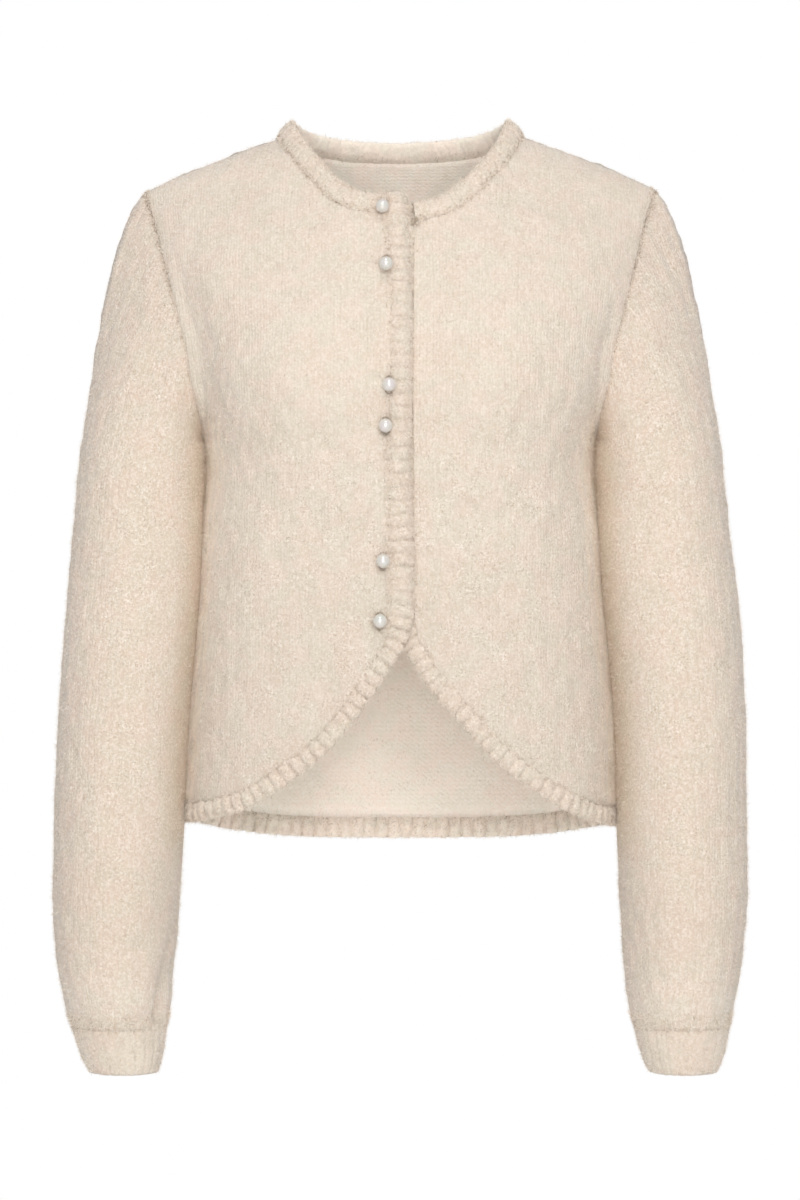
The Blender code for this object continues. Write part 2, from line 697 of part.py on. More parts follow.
def make_front(name, side):
    """A front panel, from its free edge to the side seam and the armhole."""
    grid = patch(*front_lines(side))
    outer = torso(grid, FRONT, side)
    normals = torso_normals(grid, FRONT, side)
    normals[-1, SIDE_STEPS:] = sleeve_start(side)[1][ARMHOLE_STEPS::-1]
    outer[:, -1, 1] -= SEAM_HALF_GAP
    outer[-1, : SIDE_STEPS + 1, 1] -= SEAM_HALF_GAP
    wall(name, outer, normals, False)


def make_back(name):
    """The back panel, with both side seams and both armholes."""
    grid = patch(*back_lines())
    outer = torso(grid, BACK)
    normals = torso_normals(grid, BACK)
    for side, column in ((RIGHT, 0), (LEFT, -1)):
        seam_normals = np.roll(sleeve_start(side)[1], -ARMHOLE_STEPS, axis=0)
        normals[column, SIDE_STEPS:-1] = seam_normals[:ARMHOLE_STEPS]
        normals[column, -1] = seam_normals[ARMHOLE_STEPS]
        outer[column, : SIDE_STEPS + 1, 1] += SEAM_HALF_GAP
    outer[: SHOULDER_COLUMNS + 1, -1, 1] += SEAM_HALF_GAP
    outer[-SHOULDER_COLUMNS - 1 :, -1, 1] += SEAM_HALF_GAP
    wall(name, outer, normals, False)


def make_sleeve(name, side):
    """A sleeve lofted from the armhole to the cuff."""
    outer, seam_normals = sleeve_grid(side)
    normals = grid_normals(outer, (side, 0, 0), True)
    normals[:, 0] = seam_normals
    wall(name, outer, normals, True)


def make_cuff(name, side):
    """A ribbed cuff: ribs raised round the outside, plain within."""
    turn = np.linspace(0, 2 * math.pi, 2 * CUFF_RIBS, endpoint=False)
    rib = np.tile([0.0, 1.0], CUFF_RIBS)[:, None]
    heights = np.array([row[0] for row in CUFF_LEVELS])
    centre = ring(SLEEVE_COLUMNS, CUFF_LEVELS, side, heights[None, :], turn[:, None])
    normals = grid_normals(centre, (side, 0, 0), True)
    outer = centre - normals * RIB_DEPTH * (1 - rib[..., None])
    inner = (centre - normals * CUFF_WALL)[:, [0, -1]]
    swept_solid(name, outer, inner, True, CREAM, 0.95)


def rib_stations(length, plain_length):
    """Distances along a band, alternately in a groove and on a rib, after a plain stretch."""
    plain = np.linspace(0.0, plain_length, max(1, round(plain_length / PLAIN_STEP)) + 1)[:-1]
    ribs = max(1, round((length - plain_length) / RIB_PITCH))
    ribbed = np.linspace(plain_length, length, 2 * ribs + 1)
    raised = np.concatenate([np.ones(len(plain)), np.arange(2 * ribs + 1) % 2])
    if plain_length == 0:
        return ribbed, raised[-len(ribbed) :]
    return np.concatenate([plain, ribbed]), raised


def ribbed_band(name, points, across, normals, widths, plain_length=0.0):
    """A ribbed band along a line: its ribs are raised in the outer points over a plain back."""
    along = lengths_along(points)
    stations, raised = rib_stations(along[-1], plain_length)
    points, across, normals = (read_along(along, values, stations) for values in (points, across, normals))
    widths = read_along(along, widths[:, None], stations)[:, 0]
    outer, inner = [], []
    for share, height in BAND_OUTER:
        lifted = height * BAND_CROWN - (1 - raised) * RIB_DEPTH * min(1.0, height + RIB_AT_EDGE) - CLOTH / 4
        outer.append(points + across * (widths * share)[:, None] + normals * lifted[:, None])
    for share, height in BAND_INNER:
        inner.append(points + across * (widths * share)[:, None] + normals * height * BAND_BACK)
    swept_solid(name, np.stack(outer, axis=1), np.stack(inner, axis=1), False, CREAM, 0.95)


def trimmed(points, values, cut):
    """A line and its values without a short length at each end."""
    along = lengths_along(points)
    wanted = np.linspace(cut, along[-1] - cut, len(points))
    return [read_along(along, item, wanted) for item in (points, *values)]


def edge_lines(edge):
    """What a band on a free edge is built along, a seam's gap short of both ends."""
    values = (edge.inward, edge.normals, edge.widths[:, None])
    points, inward, normals, widths = trimmed(edge.points, values, SEAM_GAP)
    return points, inward, normals, widths[:, 0]


def make_front_band(name, side):
    """The band up a front's free edge: round the cut-away corner and up to the neck."""
    lines = edge_lines(front_edge(side))
    if side == LEFT:
        hidden = np.interp(-LEFT_RIBS_FROM, -lines[0][:, 2], lengths_along(lines[0]))
        ribbed_band(name, *lines, hidden)
    else:
        ribbed_band(name, *lines)


def make_hem(name):
    ribbed_band(name, *edge_lines(back_edge()))


def make_neckband(name):
    """The neckband, from the right front's band round the back to the left front's."""
    points, normals = [], []
    for side in (RIGHT, LEFT):
        line = front_lines(side)[2][-NECK_STEPS_FRONT - 1 :]
        points.append(torso(line, FRONT, side))
        normals.append(torso_normals(line, FRONT, side))
    back = back_lines()[1][SHOULDER_COLUMNS : -SHOULDER_COLUMNS]
    points = joined(points[0], torso(back, BACK), points[1][::-1])
    normals = joined(normals[0], torso_normals(back, BACK), normals[1][::-1])
    tangents = unit(np.gradient(points, axis=0))
    across = unit(np.cross(normals, tangents))
    across = across * np.sign(across[len(across) // 2, 2])
    across[0] = across[-1] = (0.0, 0.0, 1.0)
    roof = np.abs(normals[:, 2])
    across = unit(across + np.array([0.0, 0.0, NECK_LIFT]) * roof[:, None])
    normals = unit(normals - across * np.sum(normals * across, axis=1)[:, None])
    widths = NECK_BAND + NECK_BAND_EXTRA * roof[:, None]
    lifted = points + across * SEAM_GAP
    points, across, normals, widths = trimmed(lifted, (across, normals, widths), NECK_END_GAP)
    ribbed_band(name, points, across, normals, widths[:, 0])


def make_buttons():
    """Pearl buttons with a flat back, each on its own stand over the cloth beside the band."""
    for number, (x, z, stand) in enumerate(BUTTONS, 1):
        name = f"button_{number}"
        line = np.array([[angle_at(np.array(x), np.array(z)), z]])
        place = torso(line, FRONT, RIGHT)[0] + torso_normals(line, FRONT, RIGHT)[0] * stand
        shape = bmesh.new()
        bmesh.ops.create_uvsphere(shape, u_segments=14, v_segments=8, radius=BUTTON_RADIUS)
        for vertex in shape.verts:
            vertex.co.z = max(vertex.co.z, -BUTTON_BACK * BUTTON_RADIUS)
        bmesh.ops.rotate(shape, verts=shape.verts, matrix=Matrix.Rotation(QUARTER, 3, "X"))
        bmesh.ops.translate(shape, verts=shape.verts, vec=settle(place))
        mesh = bpy.data.meshes.new(name)
        shape.to_mesh(mesh)
        shape.free()
        link_object(name, mesh, PEARL, 0.25)


def main():
    for old in list(bpy.data.objects):
        bpy.data.objects.remove(old)
    make_back("back")
    make_front("front_right", RIGHT)
    make_front("front_left", LEFT)
    make_sleeve("sleeve_right", RIGHT)
    make_sleeve("sleeve_left", LEFT)
    make_cuff("cuff_right", RIGHT)
    make_cuff("cuff_left", LEFT)
    make_front_band("band_right", RIGHT)
    make_front_band("band_left", LEFT)
    make_hem("hem_back")
    make_neckband("neckband")
    make_buttons()


main()
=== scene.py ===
"""The looks of a cropped button cardigan: brushed stocking stitch, ribbed trims, pearl buttons and nap.

Metres, +Z up. The front faces -Y and +X is the wearer's left. Each panel is the torso or sleeve surface
of the frame's solids, worked out on a fine grid: wales are raised in its outer layer, the inner layer is
plain, and the two are joined round the rim. Ribbed bands are rounded sections carried along the edges.
"""

import logging
import math
from dataclasses import dataclass, replace
from enum import Enum, IntEnum

import bpy
import numpy as np
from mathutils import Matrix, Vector


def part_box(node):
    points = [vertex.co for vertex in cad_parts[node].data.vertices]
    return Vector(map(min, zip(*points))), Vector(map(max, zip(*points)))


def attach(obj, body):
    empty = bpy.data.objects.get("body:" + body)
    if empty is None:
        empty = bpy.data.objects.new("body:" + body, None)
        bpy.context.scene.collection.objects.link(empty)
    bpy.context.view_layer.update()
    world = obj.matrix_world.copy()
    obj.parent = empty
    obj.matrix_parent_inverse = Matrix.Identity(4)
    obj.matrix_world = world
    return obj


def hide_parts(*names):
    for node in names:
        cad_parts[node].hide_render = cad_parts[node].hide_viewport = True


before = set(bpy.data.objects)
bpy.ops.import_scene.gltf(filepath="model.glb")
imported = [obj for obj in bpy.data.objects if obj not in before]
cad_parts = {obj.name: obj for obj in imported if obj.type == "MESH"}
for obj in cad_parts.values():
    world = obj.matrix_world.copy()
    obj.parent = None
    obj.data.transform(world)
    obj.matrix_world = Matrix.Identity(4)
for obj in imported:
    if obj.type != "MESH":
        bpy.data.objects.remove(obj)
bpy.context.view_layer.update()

logging.basicConfig(level=logging.INFO, format="%(message)s")
log = logging.getLogger("cardigan")
Array = np.ndarray
Socket = bpy.types.NodeSocket
Piece = bpy.types.Object
Pair = tuple[float, float]
Triple = tuple[float, float, float]
QUARTER = math.pi / 2
ROOT = "root"


class Side(IntEnum):
    """The wearer's side that a piece is on, as the sign of its x."""

    RIGHT = -1
    LEFT = 1


class Face(IntEnum):
    """The half of the garment that a piece belongs to, as the sign of its y."""

    FRONT = -1
    BACK = 1


class Slot(Enum):
    """Material slots."""

    KNIT = "brushed_knit"
    RIB = "rib_knit"
    PEARL = "pearl"


# ---- lines and tables


def hermite(keys: Array, values: Array, at: Array) -> Array:
    """A cubic curve through values, with its slope at each key taken from the keys beside it.

    Args:
        keys: rising parameters of the values.
        values: one row for each key.
        at: parameters to read the curve at.

    Returns:
        The curve's values at those parameters.
    """
    slopes = np.gradient(values, keys, axis=0)
    index = np.clip(np.searchsorted(keys, at) - 1, 0, len(keys) - 2)
    step = keys[index + 1] - keys[index]
    part = np.clip((at - keys[index]) / step, 0.0, 1.0)
    if values.ndim > 1:
        part, step = part[..., None], step[..., None]
    rise = part * part * (3 - 2 * part)
    start = part * (1 - part) ** 2 * step * slopes[index]
    end = part * part * (part - 1) * step * slopes[index + 1]
    return values[index] * (1 - rise) + values[index + 1] * rise + start + end


@dataclass(frozen=True)
class Table:
    """Rows of named columns. The first column is the key that the others are read at."""

    columns: tuple[str, ...]
    rows: tuple[tuple[float, ...], ...]

    def read(self, name: str, at: Array) -> Array:
        """One named column, on a smooth curve, at any key."""
        table = np.array(sorted(self.rows))
        return hermite(table[:, 0], table[:, self.columns.index(name)], at)


def unit(vectors: Array) -> Array:
    """Vectors of the same direction and of length one."""
    return vectors / np.linalg.norm(vectors, axis=-1, keepdims=True)


def lengths_along(points: Array) -> Array:
    """Distance of each point from the first, along the line through them."""
    return np.concatenate([[0.0], np.cumsum(np.linalg.norm(np.diff(points, axis=0), axis=1))])


def read_along(along: Array, values: Array, wanted: Array) -> Array:
    """Values kept at rising distances along a line, read at other distances."""
    flat = values.reshape(len(values), -1)
    read = np.stack([np.interp(wanted, along, column) for column in flat.T], axis=-1)
    return read.reshape(len(wanted), *values.shape[1:])


def trimmed(cut: float, *values: Array) -> tuple[Array, ...]:
    """Values along a line, the first of them its points, without a short length at each end."""
    along = lengths_along(values[0])
    wanted = np.linspace(cut, along[-1] - cut, len(along))
    return tuple(read_along(along, value, wanted) for value in values)


def smooth_line(points: Array, count: int = 400) -> Array:
    """Many points on a smooth curve through a few."""
    along = lengths_along(points)
    return hermite(along, points, np.linspace(0.0, along[-1], count))


def waves(points: Array, seed: int, lengths: Array) -> Array:
    """A sum of one sine wave for each length, each in its own direction.

    Args:
        points: points in metres.
        seed: the seed of the directions and phases.
        lengths: wavelengths in metres.

    Returns:
        The sum at each point.
    """
    random = np.random.default_rng(seed)
    height = np.zeros(points.shape[:-1])
    for length in lengths:
        wave = unit(random.normal(size=3)) * 2 * math.pi / length
        height += np.sin(points @ wave + random.uniform(0, 2 * math.pi))
    return height


def joined(*lines: Array) -> Array:
    """Lines end to end, without the doubled points where they meet."""
    return np.concatenate([lines[0]] + [line[1:] for line in lines[1:]])


# ---- the figure


@dataclass(frozen=True)
class Figure:
    """The torso that the garment is filled out to: rounded sections that close over the shoulders.

    A line on it is kept as (angle, height): the angle round the section, 0 in the middle and a quarter
    turn at the side seam, negative on the wearer's right.
    """

    neck_x: float = 0.086
    tip_x: float = 0.180
    slope: float = 0.391
    top: float = 0.0531
    seam_y: float = 0.004
    round_height: float = 0.090
    bulge: float = 0.0016
    tilt: float = 0.0011
    tilt_fade: float = 0.200
    bust_depth: float = 0.011
    bust_x: float = 0.078
    bust_half_width: float = 0.052
    bust_height: float = -0.148
    bust_half_height: float = 0.052
    side_fade: float = 0.3
    angle_spread: float = 2.1
    lap: float = 0.0035
    lap_reach: float = 0.034
    inside_angle: float = 0.02
    inside_height: float = 0.003
    lowest: float = -0.49
    highest: float = 0.03
    lattice: tuple[int, int] = (90, 104)
    levels: Table = Table(
        ("height", "half_width", "side_y", "front_y", "back_y", "squareness"),
        (
            (0.030, 0.188, 0.008, -0.046, 0.060, 2.50),
            (-0.020, 0.187, 0.012, -0.059, 0.070, 2.50),
            (-0.060, 0.183, 0.017, -0.080, 0.083, 2.45),
            (-0.100, 0.177, 0.021, -0.099, 0.092, 2.50),
            (-0.150, 0.166, 0.024, -0.112, 0.094, 2.60),
            (-0.197, 0.1405, 0.025, -0.112, 0.089, 2.90),
            (-0.265, 0.1418, 0.025, -0.107, 0.086, 3.10),
            (-0.335, 0.1475, 0.025, -0.106, 0.088, 3.10),
            (-0.400, 0.1535, 0.025, -0.107, 0.093, 3.05),
            (-0.490, 0.1560, 0.025, -0.108, 0.098, 3.00),
        ),
    )

    def at(self, name: str, z: Array) -> Array:
        """One measure of the sections at a height."""
        return self.levels.read(name, z)

    def shoulder(self, x: Array) -> Array:
        """Height of the shoulder line: a straight slope that swells a little between neck and sleeve."""
        share = np.clip((np.abs(x) - self.neck_x) / (self.tip_x - self.neck_x), 0.0, 1.0)
        return self.top - self.slope * np.abs(x) + 4 * self.bulge * share * (1 - share)

    def angle(self, x: Array, z: Array) -> Array:
        """The angle round the section at which the torso stands x from its middle."""
        share = np.clip(np.abs(x) / self.at("half_width", z), 0.0, 1.0)
        return np.sign(x) * np.arcsin(share ** (self.angle_spread / 2))

    def line_on(self, side: Side, rows: tuple[tuple[float, ...], ...]) -> Array:
        """A smooth (angle, height) line given as (x, height), with any further columns carried along.

        Args:
            side: the wearer's side that the line is on.
            rows: the line's points.

        Returns:
            Many points of the line.
        """
        points = np.array(rows, float)
        angles = side * self.angle(points[:, 0], points[:, 1])
        radius = self.at("half_width", np.array(0.0))
        line = smooth_line(np.column_stack([angles * radius, points[:, 1:]]))
        line[:, 0] /= radius
        return line

    def settle(self, points: Array) -> Array:
        """Points with the wearer's left shoulder set a little higher than the right.

        Args:
            points: points in metres.

        Returns:
            The points, moved.
        """
        fade = np.clip((points[..., 2] + self.tilt_fade) / self.tilt_fade, 0.0, 1.0) ** 2
        moved = points.copy()
        moved[..., 2] += self.tilt * points[..., 0] / self.tip_x * fade
        return moved


FIGURE = Figure()


@dataclass(frozen=True)
class Half:
    """The front or the back half of the torso. Where the fronts lap, layer -1 lies over layer 1."""

    face: Face
    layer: int = 0
    rise_weight: float = 0.10
    stitch_angle: float = 0.55
    stitch_top: float = 0.035

    def points(self, line: Array) -> Array:
        """Points of the torso: a superellipse section, with the bust as two bell-shaped swellings.

        Args:
            line: (angle, height) pairs.

        Returns:
            Points in metres.
        """
        angle, z = line[..., 0], line[..., 1]
        share = np.abs(np.sin(angle)) ** (2 / FIGURE.angle_spread)
        x = FIGURE.at("half_width", z) * np.sign(angle) * share
        side = FIGURE.at("side_y", z)
        middle = FIGURE.at("front_y" if self.face == Face.FRONT else "back_y", z)
        power = FIGURE.at("squareness", z)
        forward = np.maximum(1 - share**power, 0.0) ** (1 / power)
        y = side + (middle - side) * forward
        if self.face == Face.FRONT:
            sideways = (np.abs(x) - FIGURE.bust_x) / FIGURE.bust_half_width
            upward = (z - FIGURE.bust_height) / FIGURE.bust_half_height
            off_side = np.clip(forward / FIGURE.side_fade, 0.0, 1.0)
            y = y - FIGURE.bust_depth * off_side * np.exp(-(sideways**2) - upward**2)
        drop = np.clip((FIGURE.shoulder(x) - z) / FIGURE.round_height, 0.0, 1.0)
        y = FIGURE.seam_y + (y - FIGURE.seam_y) * np.sqrt(1 - (1 - drop) ** 2)
        y = y + self.layer * FIGURE.lap * np.exp(-((x / FIGURE.lap_reach) ** 2))
        return np.stack([x, y, z], axis=-1)

    def slopes(self, line: Array) -> tuple[Array, Array]:
        """How the points move with the angle and with the height, read just inside the edges.

        Args:
            line: (angle, height) pairs.

        Returns:
            The change with the angle and the change with the height.
        """
        step = 1e-3
        angle = np.clip(line[..., 0], FIGURE.inside_angle - QUARTER, QUARTER - FIGURE.inside_angle)
        x = self.points(np.stack([angle, line[..., 1]], axis=-1))[..., 0]
        height = np.minimum(line[..., 1], FIGURE.shoulder(x) - FIGURE.inside_height)
        inside = np.stack([angle, height], axis=-1)
        turn, rise = np.array([step, 0.0]), np.array([0.0, step])
        around = self.points(inside + turn) - self.points(inside - turn)
        upward = self.points(inside + rise) - self.points(inside - rise)
        return around / (2 * step), upward / (2 * step)

    def normals(self, line: Array) -> Array:
        """Outward normals. Front and back share them along the side seams and the shoulder seams.

        Args:
            line: (angle, height) pairs.

        Returns:
            Unit vectors.
        """
        around, upward = self.slopes(line)
        normals = -self.face * unit(np.cross(around, upward))
        x = self.points(line)[..., 0]
        flat = 0 * x
        at_side = np.abs(line[..., 0]) > QUARTER - 1e-4
        at_shoulder = FIGURE.shoulder(x) - line[..., 1] < 1e-4
        sideways = np.stack([np.sign(x), flat, flat], axis=-1)
        roof = unit(np.stack([FIGURE.slope * np.sign(x), flat, flat + 1], axis=-1))
        normals = np.where(at_side[..., None], sideways, normals)
        return np.where(at_shoulder[..., None], roof, normals)

    def round_distance(self, line: Array) -> Array:
        """Distance round the torso from the middle, along each point's own level.

        Sections are summed on a lattice of angles and heights, and read from it bilinearly.

        Args:
            line: (angle, height) pairs.

        Returns:
            Signed distances in metres.
        """
        turns, levels = FIGURE.lattice
        angles = np.linspace(0.0, QUARTER, turns + 1)
        heights = np.linspace(FIGURE.lowest, FIGURE.highest, levels + 1)
        lattice = np.stack(np.meshgrid(angles, heights, indexing="ij"), axis=-1)
        steps = np.linalg.norm(np.diff(self.points(lattice), axis=0), axis=-1)
        sums = np.concatenate([np.zeros((1, len(heights))), np.cumsum(steps, axis=0)])
        height, inside = FIGURE.highest - FIGURE.lowest, 1e-3
        a = np.clip(np.abs(line[..., 0]) / QUARTER * turns, 0, turns - inside)
        h = np.clip((line[..., 1] - FIGURE.lowest) / height * levels, 0, levels - inside)
        i, j = a.astype(int), h.astype(int)
        p, q = a - i, h - j
        low = sums[i, j] * (1 - p) + sums[i + 1, j] * p
        high = sums[i, j + 1] * (1 - p) + sums[i + 1, j + 1] * p
        return np.sign(line[..., 0]) * (low * (1 - q) + high * q)

    def by_wales(self, line: Array, steps: int) -> Array:
        """A boundary line with its points at equal distances across the wales, where a rise counts a little.

        Args:
            line: many (angle, height) points.
            steps: the number of steps.

        Returns:
            The line with that many steps.
        """
        across = self.round_distance(line)
        gone = np.abs(np.diff(across)) + self.rise_weight * np.abs(np.diff(line[:, 1]))
        along = np.concatenate([[0.0], np.cumsum(gone)])
        return read_along(along, line, np.linspace(0.0, along[-1], steps + 1))

    def evenly(self, line: Array, steps: int) -> Array:
        """A boundary line with its points at equal distances along the cloth."""
        along = lengths_along(self.points(line))
        return read_along(along, line, np.linspace(0.0, along[-1], steps + 1))

    def stitches(self, grid: Array) -> Array:
        """Wales and courses over the torso: distance round each level, and distance down the cloth.

        Args:
            grid: (angle, height) points.

        Returns:
            (wales, courses) for each point.
        """
        across = self.round_distance(grid) / KNIT.wale
        heights = np.linspace(FIGURE.lowest, self.stitch_top, 400)
        middle = np.stack([0 * heights + self.stitch_angle, heights], axis=-1)
        down = lengths_along(Half(self.face).points(middle))
        return np.stack([across, np.interp(grid[..., 1], heights, down) / KNIT.course], axis=-1)


BACK = Half(Face.BACK)
FRONTS = {side: Half(Face.FRONT, int(side)) for side in Side}


# ---- creases and knit relief


@dataclass(frozen=True)
class Crease:
    """A soft trough, or with a negative depth a ridge, along a straight run seen from the front or back."""

    face: Face
    start: Pair
    end: Pair
    half_width: float
    depth: float

    def sink(self, points: Array, facing: Array) -> Array:
        """How deep the trough presses in: a bell across its run, faded out on the other face.

        Args:
            points: points in metres.
            facing: how far each point's normal turns to the back, from -1 to 1.

        Returns:
            Depths in metres.
        """
        (x0, z0), (x1, z1) = self.start, self.end
        x, z = points[..., 0], points[..., 2]
        run_x, run_z = x1 - x0, z1 - z0
        share = np.clip(((x - x0) * run_x + (z - z0) * run_z) / (run_x**2 + run_z**2), 0.0, 1.0)
        away = np.hypot(x - x0 - share * run_x, z - z0 - share * run_z)
        ends = 0.35 + 0.65 * np.sin(math.pi * share) ** 0.5
        shown = np.clip(0.5 + 1.6 * self.face * facing, 0.0, 1.0)
        return self.depth * ends * shown * np.exp(-((away / self.half_width) ** 2))


def creases(**rows: tuple) -> list[Crease]:
    """Creases from rows of start x, start z, end x, end z, half width and depth, for each face by name."""
    faced = ((Face[face.upper()], row) for face, table in rows.items() for row in table)
    return [Crease(face, row[:2], row[2:4], *row[4:]) for face, row in faced]


BODY_CREASES = creases(
    front=(
        (-0.1500, -0.0900, -0.1310, -0.1900, 0.0140, 0.0050),
        (0.1500, -0.1150, 0.1380, -0.2000, 0.0110, 0.0044),
        (-0.134, -0.214, -0.052, -0.262, 0.0140, 0.0012),
        (0.132, -0.206, 0.060, -0.250, 0.0130, 0.0011),
        (-0.142, -0.262, -0.040, -0.253, 0.0060, 0.0009),
        (0.140, -0.300, 0.070, -0.285, 0.0080, 0.0008),
        (-0.120, -0.392, -0.080, -0.330, 0.0120, 0.0010),
        (0.126, -0.400, 0.104, -0.330, 0.0120, 0.0010),
    ),
    back=(
        (-0.1540, -0.1050, -0.1260, -0.1950, 0.0150, 0.0040),
        (0.1530, -0.1100, 0.1290, -0.2050, 0.0140, 0.0036),
        (-0.120, -0.250, 0.020, -0.262, 0.0100, 0.0016),
        (0.125, -0.268, 0.010, -0.290, 0.0110, 0.0014),
        (-0.130, -0.330, -0.040, -0.318, 0.0120, 0.0012),
        (0.110, -0.360, 0.030, -0.350, 0.0130, 0.0011),
    ),
)
SLEEVE_CREASES = creases(
    front=(
        (-0.160, -0.120, -0.196, -0.210, 0.0110, 0.0016),
        (0.160, -0.120, 0.190, -0.200, 0.0110, 0.0014),
        (-0.166, -0.215, -0.160, -0.330, 0.0090, 0.0020),
        (0.164, -0.205, 0.162, -0.300, 0.0090, 0.0016),
        (-0.226, -0.286, -0.186, -0.308, 0.0130, 0.0015),
        (0.224, -0.268, 0.190, -0.296, 0.0120, 0.0012),
        (-0.1590, -0.555, -0.1690, -0.612, 0.0036, 0.0064),
    ),
    back=(
        (-0.228, -0.270, -0.180, -0.300, 0.0120, 0.0020),
        (0.226, -0.262, 0.182, -0.288, 0.0120, 0.0018),
        (-0.222, -0.320, -0.184, -0.335, 0.0110, 0.0014),
        (0.224, -0.340, 0.180, -0.352, 0.0110, 0.0013),
    ),
)


@dataclass(frozen=True)
class Knit:
    """Sizes of the stocking stitch and how its yarn lies in the cloth."""

    wale: float = 0.0045
    course: float = 0.0033
    ridge_power: float = 0.7
    cloth: float = 0.0028
    swell: float = 0.00013
    lump: float = 0.00012
    wander: float = 0.04
    seam_depth: float = 0.0003
    seam_reach: float = 0.0045
    trim_bulge: float = 0.0009
    trim_bulge_at: float = 0.0080
    trim_bulge_reach: float = 0.006
    border: float = 0.012

    def ridges(self, wales: Array) -> Array:
        """Height of the wales, as a share: an arch over each one, with a narrow groove between two."""
        return np.abs(np.sin(math.pi * wales)) ** self.ridge_power

    def unevenness(self, points: Array) -> Array:
        """Slow swells of the soft cloth, 26 to 75 mm long, under small lumps of 8 to 20 mm."""
        swells = waves(points, 11, np.geomspace(0.026, 0.075, 9)) * self.swell
        return swells + waves(points, 12, np.geomspace(0.008, 0.020, 12)) * self.lump

    def straying(self, points: Array) -> Array:
        """How far the wales stray from their course, in wales."""
        return self.wander * waves(points, 13, np.geomspace(0.012, 0.050, 5))

    def seam(self, distance: Array) -> Array:
        """How deep the cloth is drawn in by a seam at a distance from it."""
        return self.seam_depth * np.exp(-((distance / self.seam_reach) ** 2))

    def beside_trim(self, distance: Array) -> Array:
        """How far the panel swells just inside a trim."""
        return self.trim_bulge * np.exp(-(((distance - self.trim_bulge_at) / self.trim_bulge_reach) ** 2))

    def calmed(self, distance: Array, least: float) -> Array:
        """The share of creases and swells that is left at a distance from a border."""
        return np.clip(distance / self.border, least, 1.0)


KNIT = Knit()


# ---- meshes


@dataclass
class Sheet:
    """A grid of mesh corners: each has a point and places on the stitch map and on the bake map."""

    points: Array
    stitches: Array
    bake: Array
    wrap: bool = False

    def vertices(self, first: int) -> Array:
        """Vertex numbers of its corners: the first column comes again at the end if it goes all round."""
        vertices = first + np.arange(self.points[..., 0].size).reshape(self.points.shape[:2])
        return np.concatenate([vertices, vertices[:1]]) if self.wrap else vertices


def grid_faces(first: int, columns: int, rows: int) -> Array:
    """Four-sided faces of a grid of corners, each turning from its column to the next."""
    index = first + np.arange(columns * rows).reshape(columns, rows)
    return np.stack([index[:-1, :-1], index[1:, :-1], index[1:, 1:], index[:-1, 1:]], axis=-1).reshape(-1, 4)


def rim_faces(outer: Array, inner: Array) -> Array:
    """Triangles between an outer rim and an inner rim of half as many steps.

    Args:
        outer: an odd number of corners, in the order of the outer faces' own edges.
        inner: the corners beside every second one of them.

    Returns:
        Three triangles for each step of the inner rim.
    """
    a, b, c = outer[:-2:2], outer[1:-1:2], outer[2::2]
    low, high = inner[:-1], inner[1:]
    one, two, three = (np.stack(f, axis=-1) for f in ((b, a, low), (low, high, b), (c, b, high)))
    return np.concatenate([one, two, three])


def signed_volume(points: Array, faces: Array) -> float:
    """Six times the volume inside a closed mesh, positive if its faces face out.

    Args:
        points: the corners.
        faces: for each face the numbers of its three or four corners.

    Returns:
        The volume times six.
    """
    a = points[faces[:, 0]]
    total = 0.0
    for k in range(1, faces.shape[1] - 1):
        total += float(np.sum(a * np.cross(points[faces[:, k]], points[faces[:, k + 1]])))
    return total


def put(name: str, data: bpy.types.ID) -> Piece:
    """An object with its data, in the scene."""
    made = bpy.data.objects.new(name, data)
    bpy.context.scene.collection.objects.link(made)
    return made


def bare_mesh(name: str, points: Array, corners: Array, starts: Array, finishes: Array) -> bpy.types.Mesh:
    """A mesh of faces without maps, under the tilt of the shoulders.

    Args:
        name: its name.
        points: the vertices.
        corners: each corner's vertex, face by face.
        starts: each face's first corner.
        finishes: each face's finish.

    Returns:
        The mesh.
    """
    mesh = bpy.data.meshes.new(name)
    mesh.vertices.add(len(points))
    mesh.vertices.foreach_set("co", FIGURE.settle(points).astype(np.float32).ravel())
    mesh.loops.add(len(corners))
    mesh.loops.foreach_set("vertex_index", corners.astype(np.int32))
    mesh.polygons.add(len(starts))
    mesh.polygons.foreach_set("loop_start", starts.astype(np.int32))
    mesh.polygons.foreach_set("material_index", finishes.astype(np.int32))
    mesh.update(calc_edges=True)
    return mesh


def put_mesh(
    name: str, points: Array, quads: Array, triangles: Array, vertex_of: Array, maps: dict, inside: Array
) -> Piece:
    """A mesh object from faces of corners.

    Args:
        name: the piece's name.
        points: the vertices.
        quads: four-sided faces, as numbers of corners.
        triangles: three-sided faces, as numbers of corners.
        vertex_of: each corner's vertex.
        maps: for each UV map, each corner's place on it.
        inside: whether each four-sided face is on the garment's inside, which has a second finish.

    Returns:
        The object, in the scene, at the origin.
    """
    volume = signed_volume(points, vertex_of[quads]) + signed_volume(points, vertex_of[triangles])
    if volume < 0:
        quads, triangles = quads[:, ::-1], triangles[:, ::-1]
    corners = np.concatenate([quads.ravel(), triangles.ravel()])
    starts = np.concatenate([np.arange(len(quads)) * 4, 4 * len(quads) + np.arange(len(triangles)) * 3])
    finishes = np.concatenate([inside, np.zeros(len(triangles), bool)])
    mesh = bare_mesh(name, points, vertex_of[corners], starts, finishes)
    for label, places in maps.items():
        layer = mesh.uv_layers.new(name=label)
        layer.uv.foreach_set("vector", places[corners].astype(np.float32).ravel())
    mesh.validate()
    mesh.polygons.foreach_set("use_smooth", np.arange(len(mesh.polygons)) < len(quads))
    return put(name, mesh)


